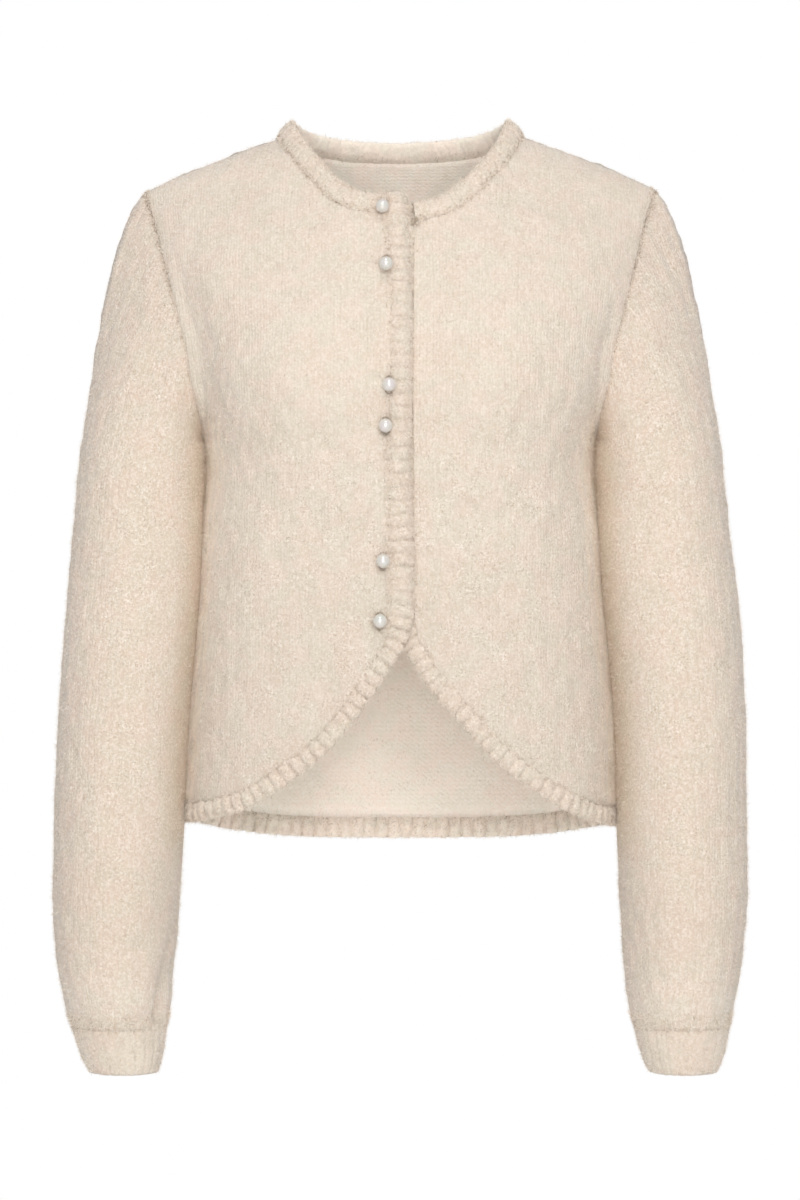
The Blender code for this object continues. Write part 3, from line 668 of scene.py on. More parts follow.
def wall(name: str, outer: Sheet, inner: Sheet) -> Piece:
    """A closed wall from an outer grid and an inner grid of half its columns and rows.

    Args:
        name: the piece's name.
        outer: the outer layer, with an even number of steps each way.
        inner: the inner layer, at every second column and row.

    Returns:
        The object.
    """
    vertices = [outer.vertices(0), inner.vertices(outer.points[..., 0].size)]
    (oc, orow), (ic, irow) = vertices[0].shape, vertices[1].shape
    start = oc * orow
    a = np.arange(start).reshape(oc, orow)
    b = start + np.arange(ic * irow).reshape(ic, irow)
    loops = [(a[:, 0], b[:, 0]), (a[::-1, -1], b[::-1, -1])]
    if not outer.wrap:
        loops += [(a[-1, :], b[-1, :]), (a[0, ::-1], b[0, ::-1])]
    rims = np.concatenate([rim_faces(o, i) for o, i in loops])
    quads = np.concatenate([grid_faces(0, oc, orow), grid_faces(start, ic, irow)[:, ::-1]])
    vertex_of = np.concatenate([grid.ravel() for grid in vertices])
    maps = {
        "stitches": np.concatenate([sheet.stitches.reshape(-1, 2) for sheet in (outer, inner)]),
        "OFBake": np.concatenate([sheet.bake.reshape(-1, 2) for sheet in (outer, inner)]),
    }
    points = np.concatenate([sheet.points.reshape(-1, 3) for sheet in (outer, inner)])
    inside = np.arange(len(quads)) >= (oc - 1) * (orow - 1)
    return put_mesh(name, points, quads, rims, vertex_of, maps, inside)


def tube(name: str, loops: Array, stitches: Array, wrap: bool, outside: int = 999) -> Piece:
    """A closed body: stations along it, each a closed loop of points, with flat ends unless it goes round.

    Args:
        name: the piece's name.
        loops: points, a row for each station.
        stitches: each point's place on the stitch map.
        wrap: whether the last station meets the first.
        outside: how many points of each loop are on the garment's outside.

    Returns:
        The object.
    """
    stations, size = loops.shape[:2]
    vertices = np.arange(stations * size).reshape(stations, size)
    vertices = np.concatenate([vertices, vertices[:, :1]], axis=1)
    places = np.concatenate([stitches, stitches[:, :1]], axis=1)
    if wrap:
        vertices = np.concatenate([vertices, vertices[:1]])
        turned = places[:1] + (places[-1:] - places[:1]) * stations / (stations - 1)
        places = np.concatenate([places, turned])
    rows, columns = vertices.shape
    bake = np.stack(
        np.meshgrid(np.linspace(0.01, 0.99, rows), np.linspace(0.01, 0.97, columns), indexing="ij"), axis=-1
    )
    quads = grid_faces(0, rows, columns)
    points, triangles = loops.reshape(-1, 3), np.zeros((0, 3), int)
    vertex_of, places, bake = vertices.ravel(), places.reshape(-1, 2), bake.reshape(-1, 2)
    if not wrap:
        centres = len(vertex_of) + np.arange(2)
        index = np.arange(rows * columns).reshape(rows, columns)
        fans = []
        for centre, ring, order in ((centres[0], index[0], 1), (centres[1], index[-1], -1)):
            pairs = np.stack([ring[:-1], ring[1:]], axis=-1)[:, ::order]
            fans.append(np.column_stack([np.full(len(pairs), centre), pairs]))
        triangles = np.concatenate(fans)
        points = np.concatenate([points, loops[[0, -1]].mean(axis=1)])
        vertex_of = np.concatenate([vertex_of, stations * size + np.arange(2)])
        places = np.concatenate([places, places[[0, -1]]])
        bake = np.concatenate([bake, [[0.01, 0.99], [0.99, 0.99]]])
    inside = np.arange(len(quads)) % (columns - 1) >= outside
    return put_mesh(name, points, quads, triangles, vertex_of, {"stitches": places, "OFBake": bake}, inside)


def grid_normals(grid: Array, outward: Triple, wrap: bool) -> Array:
    """Unit normals of a grid of points.

    Args:
        grid: columns and rows of points.
        outward: a direction that the first column's middle normal should face.
        wrap: whether the last column meets the first.

    Returns:
        A grid of unit vectors.
    """
    if wrap:
        columns = np.roll(grid, -1, axis=0) - np.roll(grid, 1, axis=0)
    else:
        columns = np.gradient(grid, axis=0)
    normals = unit(np.cross(columns, np.gradient(grid, axis=1)))
    return normals * np.sign(normals[0, grid.shape[1] // 2] @ np.array(outward))


# ---- the pattern's lines


@dataclass(frozen=True)
class Pattern:
    """The cut: armholes, necklines, free edges and hem, with the fine steps that panels are built in."""

    seam_gap: float = 0.0005
    half_gap: float = 0.0002
    underarm: float = -0.197
    corner_top: float = -0.300
    hem_band: float = 0.0146
    hem_right: float = -0.4637
    hem_left: float = -0.4660
    hem_middle: float = -0.4795
    hem_flatness: float = 3.4
    armhole_front: tuple = (
        (0.1800, -0.0173), (0.1726, -0.0411), (0.1624, -0.0812), (0.1555, -0.1100), (0.1502, -0.1323),
        (0.1455, -0.1600), (0.1412, -0.1780), (0.1398, -0.1900), (0.1405, -0.1970),
    )
    armhole_back: tuple = (
        (0.1800, -0.0173), (0.1765, -0.0411), (0.1700, -0.0812), (0.1655, -0.1100), (0.1617, -0.1323),
        (0.1562, -0.1600), (0.1462, -0.1800), (0.1420, -0.1900), (0.1405, -0.1970),
    )
    neck_right: tuple = (
        (0.0860, 0.0191), (0.0780, 0.0065), (0.0650, -0.0105), (0.0480, -0.0290), (0.0300, -0.0372),
        (0.0100, -0.0395),
    )
    neck_left: tuple = (
        (0.0860, 0.0191), (0.0795, 0.0055), (0.0650, -0.0130), (0.0480, -0.0300), (0.0300, -0.0410),
        (0.0100, -0.0455),
    )
    neck_back: tuple = (
        (0.0860, 0.0191), (0.0700, 0.0134), (0.0480, 0.0094), (0.0240, 0.0078), (0.0000, 0.0073),
    )
    edge_right: tuple = (
        (-0.0060, -0.0245, 0.0158), (-0.0078, -0.0500, 0.0148), (-0.0092, -0.0900, 0.0140),
        (-0.0090, -0.1600, 0.0154), (-0.0092, -0.2300, 0.0152), (-0.0112, -0.2700, 0.0166),
        (-0.0112, -0.3000, 0.0164), (-0.0090, -0.3210, 0.0145), (-0.0045, -0.3360, 0.0128),
        (0.0035, -0.3495, 0.0120), (0.0128, -0.3640, 0.0118), (0.0360, -0.3957, 0.0118),
        (0.0494, -0.4107, 0.0118), (0.0758, -0.4324, 0.0118), (0.1010, -0.4482, 0.0119),
        (0.1319, -0.4580, 0.0121), (0.1470, -0.4612, 0.0124), (0.1600, -0.4637, 0.0128),
    )
    edge_left: tuple = (
        (-0.0060, -0.0330, 0.0150), (-0.0062, -0.1000, 0.0150), (-0.0062, -0.2000, 0.0150),
        (-0.0060, -0.3000, 0.0150), (-0.0042, -0.3250, 0.0140), (0.0005, -0.3395, 0.0128),
        (0.0075, -0.3500, 0.0122), (0.0150, -0.3618, 0.0120), (0.0395, -0.3904, 0.0118),
        (0.0621, -0.4151, 0.0118), (0.0912, -0.4377, 0.0118), (0.1204, -0.4548, 0.0119),
        (0.1400, -0.4615, 0.0121), (0.1600, -0.4660, 0.0128),
    )

    def armhole(self, side: Side, face: Face, steps: int) -> Array:
        """Half of an armhole from the shoulder tip to the underarm point, evenly spaced on the cloth."""
        line = FIGURE.line_on(side, self.armhole_front if face == Face.FRONT else self.armhole_back)
        along = lengths_along(Half(face).points(line))
        line = read_along(along, line, np.linspace(0.0, along[-1], steps + 1))
        line[0] = self.shoulder_point(side, FIGURE.tip_x)
        line[-1] = side * QUARTER, self.underarm
        return line

    def shoulder_point(self, side: Side, x: float) -> Pair:
        """A point of the shoulder seam as (angle, height)."""
        z = FIGURE.shoulder(np.array(x))
        return float(side * FIGURE.angle(np.array(x), z)), float(z)

    def shoulder_seam(self, side: Side) -> Array:
        """The shoulder seam from the neck point to the tip."""
        x = np.linspace(FIGURE.neck_x, FIGURE.tip_x, 120)
        z = FIGURE.shoulder(x)
        return np.stack([side * FIGURE.angle(x, z), z], axis=-1)

    def neckline(self, side: Side, start: Array) -> Array:
        """A front neckline from the end of its free edge up to the neck point.

        Args:
            side: the front's side.
            start: the last point of the free edge, as (angle, height).

        Returns:
            (angle, height) points.
        """
        rows = np.array(self.neck_right if side == Side.RIGHT else self.neck_left)
        rows[-1, 0] = side * Half(Face.FRONT).points(start)[0]
        line = FIGURE.line_on(side, rows)[::-1]
        line[0], line[-1] = start, self.shoulder_point(side, FIGURE.neck_x)
        return line

    def neck_bottom(self, side: Side) -> float:
        """The height at which a front's free edge meets its neckline."""
        return (self.neck_right if side == Side.RIGHT else self.neck_left)[-1][1]


PATTERN = Pattern()


class Edge:
    """A free edge on the torso, with the directions that its band is built in."""

    def __init__(self, line: Array, widths: Array, half: Half, hint: tuple) -> None:
        """Works out the edge's points, normals and the way into the panel."""
        self.line, self.widths, self.half = line, widths, half
        self.points, self.normals = half.points(line), half.normals(line)
        inward = unit(np.cross(self.normals, unit(np.gradient(self.points, axis=0))))
        self.inward = inward * np.sign(inward[0] @ np.array(hint, float))

    def band_line(self) -> tuple[Array, ...]:
        """The band's line, with its directions inwards and outwards and its widths."""
        return trimmed(PATTERN.seam_gap, self.points, self.inward, self.normals, self.widths)

    @classmethod
    def front(cls, side: Side) -> "Edge":
        """The free edge of a front, from the neck round the cut-away corner to the side seam."""
        line = FIGURE.line_on(side, PATTERN.edge_right if side == Side.RIGHT else PATTERN.edge_left)
        return cls(line[:, :2], line[:, 2], FRONTS[side], (side, 0, 0))

    @classmethod
    def hem(cls) -> "Edge":
        """The back's lower edge: level in the middle, a little higher at the side seams."""
        angle = np.linspace(-QUARTER, QUARTER, 400)
        ends = np.where(angle < 0, PATTERN.hem_right, PATTERN.hem_left)
        rise = np.abs(np.sin(angle)) ** PATTERN.hem_flatness
        height = PATTERN.hem_middle + (ends - PATTERN.hem_middle) * rise
        return cls(np.stack([angle, height], axis=-1), 0 * angle + PATTERN.hem_band, BACK, (0, 0, 1))

    def panel_line(self, passes: int = 4) -> Array:
        """Where the panel ends beside the band: the nearest points of the torso, found by Newton steps.

        Args:
            passes: how many steps are made.

        Returns:
            (angle, height) points.
        """
        target = self.points + self.inward * (self.widths + PATTERN.seam_gap)[:, None]
        line = self.line
        for _ in range(passes):
            move = target - self.half.points(line)
            around, upward = self.half.slopes(line)
            pairs = (around, around), (upward, upward), (around, upward)
            aa, uu, au = (np.sum(p * q, axis=1) for p, q in pairs)
            ma, mu = np.sum(move * around, axis=1), np.sum(move * upward, axis=1)
            scale = aa * uu - au**2
            line = line + np.stack([(ma * uu - mu * au) / scale, (mu * aa - ma * au) / scale], axis=-1)
            line[:, 0] = np.clip(line[:, 0], -QUARTER, QUARTER)
        return line


def coons(bottom: Array, top: Array, start: Array, end: Array) -> Array:
    """A grid of (angle, height) points inside four boundary lines: a Coons patch.

    It adds the surface ruled between bottom and top to the one ruled between start and end, and takes
    away the bilinear one through the four corners.

    Args:
        bottom: the lower boundary.
        top: the upper boundary, with as many points.
        start: the boundary from the first bottom point to the first top point.
        end: the boundary from the last bottom point to the last top point.

    Returns:
        Columns and rows of points.
    """
    across = np.linspace(0.0, 1.0, len(bottom))[:, None, None]
    up = np.linspace(0.0, 1.0, len(start))[None, :, None]
    ruled_up = bottom[:, None] * (1 - up) + top[:, None] * up
    ruled_across = start[None] * (1 - across) + end[None] * across
    low = bottom[0] * (1 - across) + bottom[-1] * across
    high = top[0] * (1 - across) + top[-1] * across
    return ruled_up + ruled_across - low * (1 - up) - high * up


def cloth_distance(grid: Array, axis: int, backwards: bool = False) -> Array:
    """Distance of each grid point from one of the grid's borders, along the grid.

    Args:
        grid: columns and rows of points.
        axis: 0 from the first column, 1 from the first row.
        backwards: whether it is counted from the last one.

    Returns:
        Distances in metres.
    """
    steps = np.linalg.norm(np.diff(grid, axis=axis), axis=-1)
    if backwards:
        return np.flip(np.pad(np.cumsum(np.flip(steps, axis), axis), PADS[axis]), axis)
    return np.pad(np.cumsum(steps, axis), PADS[axis])


PADS = {0: ((1, 0), (0, 0)), 1: ((0, 0), (1, 0))}


# ---- shader nodes


class Nodes:
    """Adds and links nodes of one tree."""

    def __init__(self, tree: bpy.types.NodeTree) -> None:
        """Keeps the tree."""
        self.tree = tree

    def fill(self, node: bpy.types.Node, inputs: dict) -> bpy.types.Node:
        """Sets a node's inputs.

        Args:
            node: the node.
            inputs: for each input's name or number, a socket to link or a value to set.

        Returns:
            The node.
        """
        for key, value in inputs.items():
            if isinstance(value, Socket):
                self.tree.links.new(value, node.inputs[key])
            else:
                node.inputs[key].default_value = value
        return node

    def add(self, kind: str, inputs: dict | None = None, **settings: object) -> bpy.types.Node:
        """A node with its settings and inputs.

        Args:
            kind: the node type's name after ShaderNode.
            inputs: a socket or a value for each input's name or number.
            settings: properties of the node.

        Returns:
            The node.
        """
        node = self.tree.nodes.new(f"ShaderNode{kind}")
        for key, value in settings.items():
            setattr(node, key, value)
        return self.fill(node, inputs or {})

    def math(self, operation: str, *values: object) -> Socket:
        """The result of a Math node on sockets or numbers."""
        return self.add("Math", dict(enumerate(values)), operation=operation).outputs[0]

    def times(self, *values: object) -> Socket:
        """The product of two sockets or numbers."""
        return self.math("MULTIPLY", *values)

    def part(self, vector: object, axis: int) -> Socket:
        """One component of a vector."""
        return self.add("SeparateXYZ", {0: vector}).outputs[axis]

    def noise(self, vector: object, scale: float, detail: float = 2.0, rough: float = 0.5) -> Socket:
        """A noise value from 0 to 1 over a vector."""
        inputs = {"Vector": vector, "Scale": scale, "Detail": detail, "Roughness": rough}
        return self.add("TexNoise", inputs).outputs["Fac"]

    def ranged(self, value: object, low: float, high: float, start: float, end: float) -> Socket:
        """A value moved smoothly from one range to another, and held at its ends."""
        inputs = {"Value": value, "From Min": low, "From Max": high, "To Min": start, "To Max": end}
        return self.add("MapRange", inputs, interpolation_type="SMOOTHSTEP").outputs[0]

    def mixed(self, share: object, first: object, second: object, blend: str = "MIX") -> Socket:
        """Two colours mixed."""
        inputs = {"Fac": share, "Color1": first, "Color2": second}
        return self.add("MixRGB", inputs, blend_type=blend).outputs[0]

    def tinted(self, share: object, colour: object, tint: tuple) -> Socket:
        """A share of a colour multiplied by a tint."""
        return self.mixed(share, colour, self.mixed(1.0, colour, opaque(tint), "MULTIPLY"))

    def group(self, tree: bpy.types.NodeTree, inputs: dict) -> bpy.types.Node:
        """A node of a shared group with its inputs."""
        return self.fill(self.add("Group", node_tree=tree), inputs)


def opaque(colour: tuple) -> tuple:
    """A colour with full alpha, as sockets take it."""
    return (*colour, 1.0)


def new_group(name: str, inputs: dict, outputs: dict) -> tuple[Nodes, dict, bpy.types.Node]:
    """An empty shader node group.

    Args:
        name: the group's name.
        inputs: socket types by name.
        outputs: socket types by name.

    Returns:
        The tree's nodes, the input sockets inside the group by name, and the output node.
    """
    tree = bpy.data.node_groups.new(name, "ShaderNodeTree")
    for label, kind in inputs.items():
        tree.interface.new_socket(name=label, in_out="INPUT", socket_type=f"NodeSocket{kind}")
    for label, kind in outputs.items():
        tree.interface.new_socket(name=label, in_out="OUTPUT", socket_type=f"NodeSocket{kind}")
    nodes = Nodes(tree)
    given = nodes.tree.nodes.new("NodeGroupInput")
    return nodes, {label: given.outputs[label] for label in inputs}, nodes.tree.nodes.new("NodeGroupOutput")


def stitch_group() -> bpy.types.NodeTree:
    """Height and shade of knitting over the stitch map, where a stitch is one unit each way.

    Plain stitches are two yarn legs: each is a rounded bar across, times a bead along the wale whose
    place moves with the distance from the wale's middle, which makes the V. Purl stitches are wavy rows
    of rounded bars. The groove is the shade between wales and between legs, and the streaks are a noise
    drawn out along the wales.
    """
    nodes, given, out = new_group(
        "knit_stitch",
        {"Stitches": "Vector", "Lean": "Float", "Purl": "Float"},
        {"Height": "Float", "Groove": "Float", "Streak": "Float"},
    )
    across, down = (nodes.part(given["Stitches"], axis) for axis in (0, 1))
    inside = nodes.math("FRACT", across)
    off_middle = nodes.times(nodes.math("ABSOLUTE", nodes.math("SUBTRACT", inside, 0.5)), 2.0)
    off_leg = nodes.math("ABSOLUTE", nodes.math("SUBTRACT", nodes.times(off_middle, 2.0), 1.0))
    leg = nodes.math("POWER", nodes.math("MAXIMUM", nodes.math("SUBTRACT", 1.0, off_leg), 0.0), 0.55)
    lifted = nodes.math("SUBTRACT", down, nodes.times(off_middle, given["Lean"]))
    bead = nodes.math("SINE", nodes.times(nodes.math("FRACT", lifted), math.pi))
    bead = nodes.math("POWER", nodes.math("MAXIMUM", bead, 0.0), 0.6)
    plain = nodes.times(leg, nodes.math("ADD", nodes.times(bead, 0.75), 0.25))
    sway = nodes.times(nodes.math("SINE", nodes.times(across, 2 * math.pi)), 0.22)
    row = nodes.times(nodes.math("ADD", down, sway), math.pi)
    purl = nodes.math("POWER", nodes.math("ABSOLUTE", nodes.math("SINE", row)), 0.7)
    height = nodes.add("Mix", {"Factor": given["Purl"], 2: plain, 3: purl}, data_type="FLOAT").outputs[0]
    between = nodes.ranged(off_middle, 0.80, 1.0, 0.0, 1.0)
    within = nodes.ranged(off_middle, 0.0, 0.18, 0.6, 0.0)
    drawn = nodes.add("VectorMath", {0: given["Stitches"], 1: (2.6, 0.16, 1.0)}, operation="MULTIPLY")
    streak = nodes.math("SUBTRACT", nodes.noise(drawn.outputs[0], 1.0, 2.0, 0.6), 0.5)
    nodes.fill(out, {"Height": height, "Groove": nodes.math("ADD", between, within), "Streak": streak})
    return nodes.tree


SPECKS = (
    (860.0, (0.30, 0.21, 0.13), 0.59, 1.0),
    (780.0, (1.0, 0.98, 0.94), 0.58, 0.7),
)


def heather_group() -> bpy.types.NodeTree:
    """Colour of a heathered yarn: clouds of two hues, streaks of a paler fibre, and pale and brown specks."""
    colours = dict.fromkeys(("Cream", "Warm", "Pale"), "Color")
    inputs = {"Place": "Vector", **colours, "Fleck": "Float", "Specks": "Float"}
    nodes, given, out = new_group("heather", inputs, {"Color": "Color"})
    place = given["Place"]
    cloud = nodes.ranged(nodes.noise(place, 42.0, 3.0), 0.40, 0.62, 0.0, 0.45)
    colour = nodes.mixed(cloud, given["Cream"], given["Warm"])
    moved = nodes.add("VectorMath", {0: place, 1: (3.1, 5.7, 2.3)}, operation="ADD").outputs[0]
    hue = nodes.ranged(nodes.noise(moved, 60.0, 2.0), 0.38, 0.62, 0.0, 1.0)
    tints = nodes.mixed(hue, opaque((1.03, 0.99, 0.985)), opaque((0.975, 1.005, 0.985)))
    colour = nodes.mixed(1.0, colour, tints, "MULTIPLY")
    streak = nodes.ranged(nodes.noise(place, 520.0, 3.0, 0.65), 0.45, 0.60, 0.0, 1.0)
    colour = nodes.mixed(nodes.times(streak, given["Fleck"]), colour, given["Pale"])
    warm = nodes.ranged(nodes.noise(place, 330.0, 3.0, 0.6), 0.52, 0.66, 0.0, 0.8)
    colour = nodes.mixed(nodes.times(warm, given["Fleck"]), colour, given["Warm"])
    patches = nodes.ranged(nodes.noise(place, 70.0, 2.0), 0.40, 0.60, 0.35, 1.0)
    amount = nodes.times(given["Specks"], patches)
    for scale, shade, above, most in SPECKS:
        spot = nodes.ranged(nodes.noise(place, scale, 1.0), above, above + 0.07, 0.0, most)
        colour = nodes.mixed(nodes.times(amount, spot), colour, opaque(shade))
    nodes.fill(out, {"Color": colour})
    return nodes.tree


def nap_group() -> bpy.types.NodeTree:
    """Height of the brushed nap: fine tangled fibres over small soft clumps."""
    nodes, given, out = new_group("nap", {"Place": "Vector"}, {"Height": "Float"})
    clumps = nodes.noise(given["Place"], 330.0, 3.0, 0.6)
    fibres = nodes.noise(given["Place"], 1500.0, 3.0, 0.7)
    nodes.fill(out, {"Height": nodes.math("ADD", nodes.times(clumps, 0.65), nodes.times(fibres, 0.35))})
    return nodes.tree


def new_material(name: str) -> tuple[bpy.types.Material, Nodes, bpy.types.Node]:
    """A material with its tree and its Principled shader."""
    material = bpy.data.materials.new(name)
    material.use_nodes = True
    return material, Nodes(material.node_tree), material.node_tree.nodes["Principled BSDF"]


CHEST = (-0.30, -0.16)
LOW_SHADE_TINT = (0.5, 0.49, 0.485)
BESIDE_BODY_SHADE_TINT = (0.88, 0.79, 0.64)
FOOT_LIGHT_TINT = (1.10, 1.13, 1.15)
PAINTED_GLOW_COLOUR = (1.0, 0.79, 0.56)


@dataclass(frozen=True)
class WoolFinish:
    """A brushed wool knit: its colours, and how much of each effect it has, mostly from 0 to 1."""

    name: str
    cream: Triple = (0.626, 0.547, 0.465)
    warm: Triple = (0.578, 0.486, 0.398)
    pale: Triple = (0.735, 0.665, 0.595)
    fleck: float = 0.60
    specks: float = 0.44
    lean: float = 0.75
    stitch: float = 0.38
    purl: float = 0.0
    nap: float = 0.85
    groove: float = 0.34
    streak: float = 0.12
    calm_above: float = 0.30
    low_shade: float = 0.0
    columns: int = 0
    glow: float = 0.0
    relief: float = 0.0008
    sheen: float = 0.30

    def specks_at(self, nodes: Nodes, height: object) -> Socket:
        """How many specks the yarn shows at a height: fewer on a calm yoke and towards the cuffs."""
        low = nodes.ranged(height, -0.56, -0.44, 0.55 * self.specks, self.specks)
        return nodes.times(nodes.ranged(height, -0.25, -0.13, 1.0, self.calm_above), low)

    def shade_at(self, nodes: Nodes, place: object, height: object, knit: bpy.types.Node) -> Socket:
        """How dark the painted shade in the grooves and the streaks of tone are: broken up by noises, and
        clearest over the chest.

        Args:
            nodes: the finish's nodes.
            place: where a point of the cloth is.
            height: its height.
            knit: the stitch group's node.

        Returns:
            The darkness as a socket.
        """
        seen = nodes.ranged(nodes.noise(place, 34.0, 3.0, 0.6), 0.40, 0.62, 0.15, 1.0)
        seen = nodes.times(seen, nodes.ranged(height, *CHEST, 0.35, 1.0))
        broken = nodes.ranged(nodes.noise(place, 620.0, 1.0), 0.42, 0.58, 0.05, 1.0)
        grooves = nodes.times(knit.outputs["Groove"], nodes.times(nodes.times(seen, broken), self.groove))
        streaks = nodes.times(nodes.ranged(height, *CHEST, 0.3, 1.0), self.streak)
        streaks = nodes.times(knit.outputs["Streak"], streaks)
        return nodes.math("MAXIMUM", nodes.math("ADD", grooves, streaks), 0.0)

    def turned(self, nodes: Nodes, stitches: object) -> Socket:
        """The cosine of the angle round a sleeve: 1 on its outer side, -1 beside the body."""
        return nodes.math("COSINE", nodes.times(nodes.part(stitches, 0), 2 * math.pi / self.columns))

    def build(self, groups: dict[str, bpy.types.NodeTree]) -> bpy.types.Material:
        """The finish as a material.

        Args:
            groups: the shared node groups by name.

        Returns:
            The material.
        """
        material, nodes, shader = new_material(self.name)
        place = nodes.add("TexCoord").outputs["Object"]
        height = nodes.part(place, 2)
        stitches = nodes.add("UVMap", uv_map="stitches").outputs["UV"]
        knit = nodes.group(groups["stitch"], {"Stitches": stitches, "Lean": self.lean, "Purl": self.purl})
        colours = {"Cream": opaque(self.cream), "Warm": opaque(self.warm), "Pale": opaque(self.pale)}
        amounts = {"Fleck": self.fleck, "Specks": self.specks_at(nodes, height)}
        yarn = nodes.group(groups["heather"], {"Place": place, **amounts, **colours})
        nap = nodes.group(groups["nap"], {"Place": place})
        # Painted shade: the grooves between wales and between legs darken the colour towards a darker warm
        # hue; the streaks are random tone.
        dark = tuple(c * 0.60 for c in self.warm)
        shade = self.shade_at(nodes, place, height, knit)
        colour = nodes.mixed(shade, yarn.outputs["Color"], opaque(dark))
        # Painted shade and colour: the body's knit is tinted darker from the chest down towards the hem,
        # standing partly for the brushed nap's own self-shadow.
        if self.low_shade:
            colour = nodes.tinted(nodes.ranged(height, -0.42, -0.14, self.low_shade, 0.0), colour, LOW_SHADE_TINT)
        beside = nodes.ranged(height, -0.50, -0.46, 0.0, 1.0)
        beside = nodes.times(beside, nodes.ranged(height, -0.19, -0.15, 1.0, 0.0))
        if self.columns:
            turn = self.turned(nodes, stitches)
            # Painted shade: the sleeve's inner side beside the body is tinted darker and warmer, standing in
            # for the shade of the crevice between sleeve and body.
            inner = nodes.times(nodes.ranged(turn, -0.85, -0.25, 1.0, 0.0), beside)
            hidden = nodes.ranged(turn, -0.995, -0.86, 1.0, 0.0)
            colour = nodes.tinted(inner, colour, BESIDE_BODY_SHADE_TINT)
            # Painted light: the lowest part of the sleeve, just above the cuff, is lightened and cooled,
            # offsetting the shade where the sleeve narrows into the cuff.
            colour = nodes.tinted(nodes.ranged(height, -0.600, -0.530, 1.0, 0.0), colour, FOOT_LIGHT_TINT)
        else:
            sideways = nodes.math("ABSOLUTE", nodes.part(nodes.add("NewGeometry").outputs["Normal"], 0))
            hidden = nodes.ranged(sideways, 0.80, 0.99, 0.0, 1.0)
        # Painted light: the body's flanks and the sleeves' inner sides beside the body glow faintly warm,
        # standing in for light bounced into the crevice between them.
        if self.glow:
            lit = nodes.mixed(nodes.times(hidden, beside), opaque((0.0, 0.0, 0.0)), opaque(PAINTED_GLOW_COLOUR))
            nodes.fill(shader, {"Emission Color": lit, "Emission Strength": self.glow})
        stitch = nodes.times(knit.outputs["Height"], self.stitch)
        fuzz = nodes.times(nap.outputs["Height"], self.nap)
        bumps = {"Height": nodes.math("ADD", stitch, fuzz), "Distance": self.relief, "Strength": 1.0}
        bump = nodes.add("Bump", bumps).outputs["Normal"]
        nodes.fill(shader, {"Base Color": colour, "Normal": bump, "Roughness": 0.95})
        nodes.fill(shader, {"Specular IOR Level": 0.15, "Sheen Weight": self.sheen, "Sheen Roughness": 0.6})
        nodes.fill(shader, {"Sheen Tint": opaque((0.93, 0.95, 1.0))})
        return material


@dataclass(frozen=True)
class NapFinish:
    """The loose fibres that stand up from the wool."""

    name: str
    colour: Triple

    def build(self) -> bpy.types.Material:
        """The finish as a material."""
        material, nodes, shader = new_material(self.name)
        nodes.fill(shader, {"Base Color": opaque(self.colour), "Roughness": 1.0, "Specular IOR Level": 0.05})
        return material


@dataclass(frozen=True)
class PearlFinish:
    """The lustre of the pearl buttons: a creamy body under clear layers, cloudy in places."""

    name: str = "pearl_lustre"
    body: Triple = (0.56, 0.545, 0.50)
    rose: Triple = (0.59, 0.54, 0.53)
    green: Triple = (0.52, 0.56, 0.52)

    def build(self) -> bpy.types.Material:
        """The finish as a material."""
        material, nodes, shader = new_material(self.name)
        place = nodes.add("TexCoord").outputs["Object"]
        cloud = nodes.ranged(nodes.noise(place, 220.0, 2.0), 0.4, 0.65, 0.0, 1.0)
        colour = nodes.mixed(cloud, opaque(self.body), opaque(self.rose))
        rings = nodes.ranged(nodes.noise(place, 90.0, 1.0), 0.45, 0.7, 0.0, 0.7)
        colour = nodes.mixed(rings, colour, opaque(self.green))
        rough = nodes.ranged(nodes.noise(place, 500.0, 2.0), 0.3, 0.7, 0.32, 0.42)
        nodes.fill(shader, {"Base Color": colour, "Roughness": rough, "Specular IOR Level": 0.25})
        nodes.fill(shader, {"Coat Weight": 1.0, "Coat IOR": 2.3, "Coat Roughness": 0.05, "Sheen Weight": 0.2})
        return material


# ---- the knitted panels


@dataclass(frozen=True)
class Fibres:
    """Loose fibres of one kind: how many, their usual length, and half their usual width at the root."""

    count: int
    length: float = 0.0036
    width: float = 0.00010
    lean: Pair = (0.25, 1.1)
    droop: float = 0.25
    rooted: float = 0.0003

    def on(self, points: Array, normals: Array, seed: int) -> Array:
        """Fibres over a grid: each is one thin triangle that leans off the cloth and droops a little.

        Args:
            points: columns and rows of the cloth's outer points.
            normals: the cloth's normals there.
            seed: the seed of the random draws.

        Returns:
            Three points for each fibre.
        """
        random = np.random.default_rng(seed)
        across, down = points[1:, :-1] - points[:-1, :-1], points[:-1, 1:] - points[:-1, :-1]
        spans = np.linalg.norm(np.cross(across, down), axis=-1)
        cells = np.searchsorted(np.cumsum(spans.ravel()) / spans.sum(), random.random(self.count))
        i, j = np.unravel_index(np.minimum(cells, spans.size - 1), spans.shape)
        u, v = random.random((2, self.count, 1))
        corners = ((0, 0, (1 - u) * (1 - v)), (1, 0, u * (1 - v)), (0, 1, (1 - u) * v), (1, 1, u * v))
        root = sum(points[i + a, j + b] * w for a, b, w in corners)
        out = unit(sum(normals[i + a, j + b] * w for a, b, w in corners))
        loose = random.normal(size=(self.count, 3))
        along = unit(loose - out * np.sum(loose * out, axis=1, keepdims=True))
        lean = random.uniform(*self.lean, (self.count, 1))
        way = unit(along + out * lean - np.array([0.0, 0.0, self.droop]))
        side = unit(np.cross(way, random.normal(size=(self.count, 3))))
        side = side * random.uniform(0.6, 1.3, (self.count, 1)) * self.width
        tip = root + way * self.length * random.uniform(0.45, 1.35, (self.count, 1))
        root = root - out * self.rooted
        return np.stack([root - side, root + side, tip], axis=1)


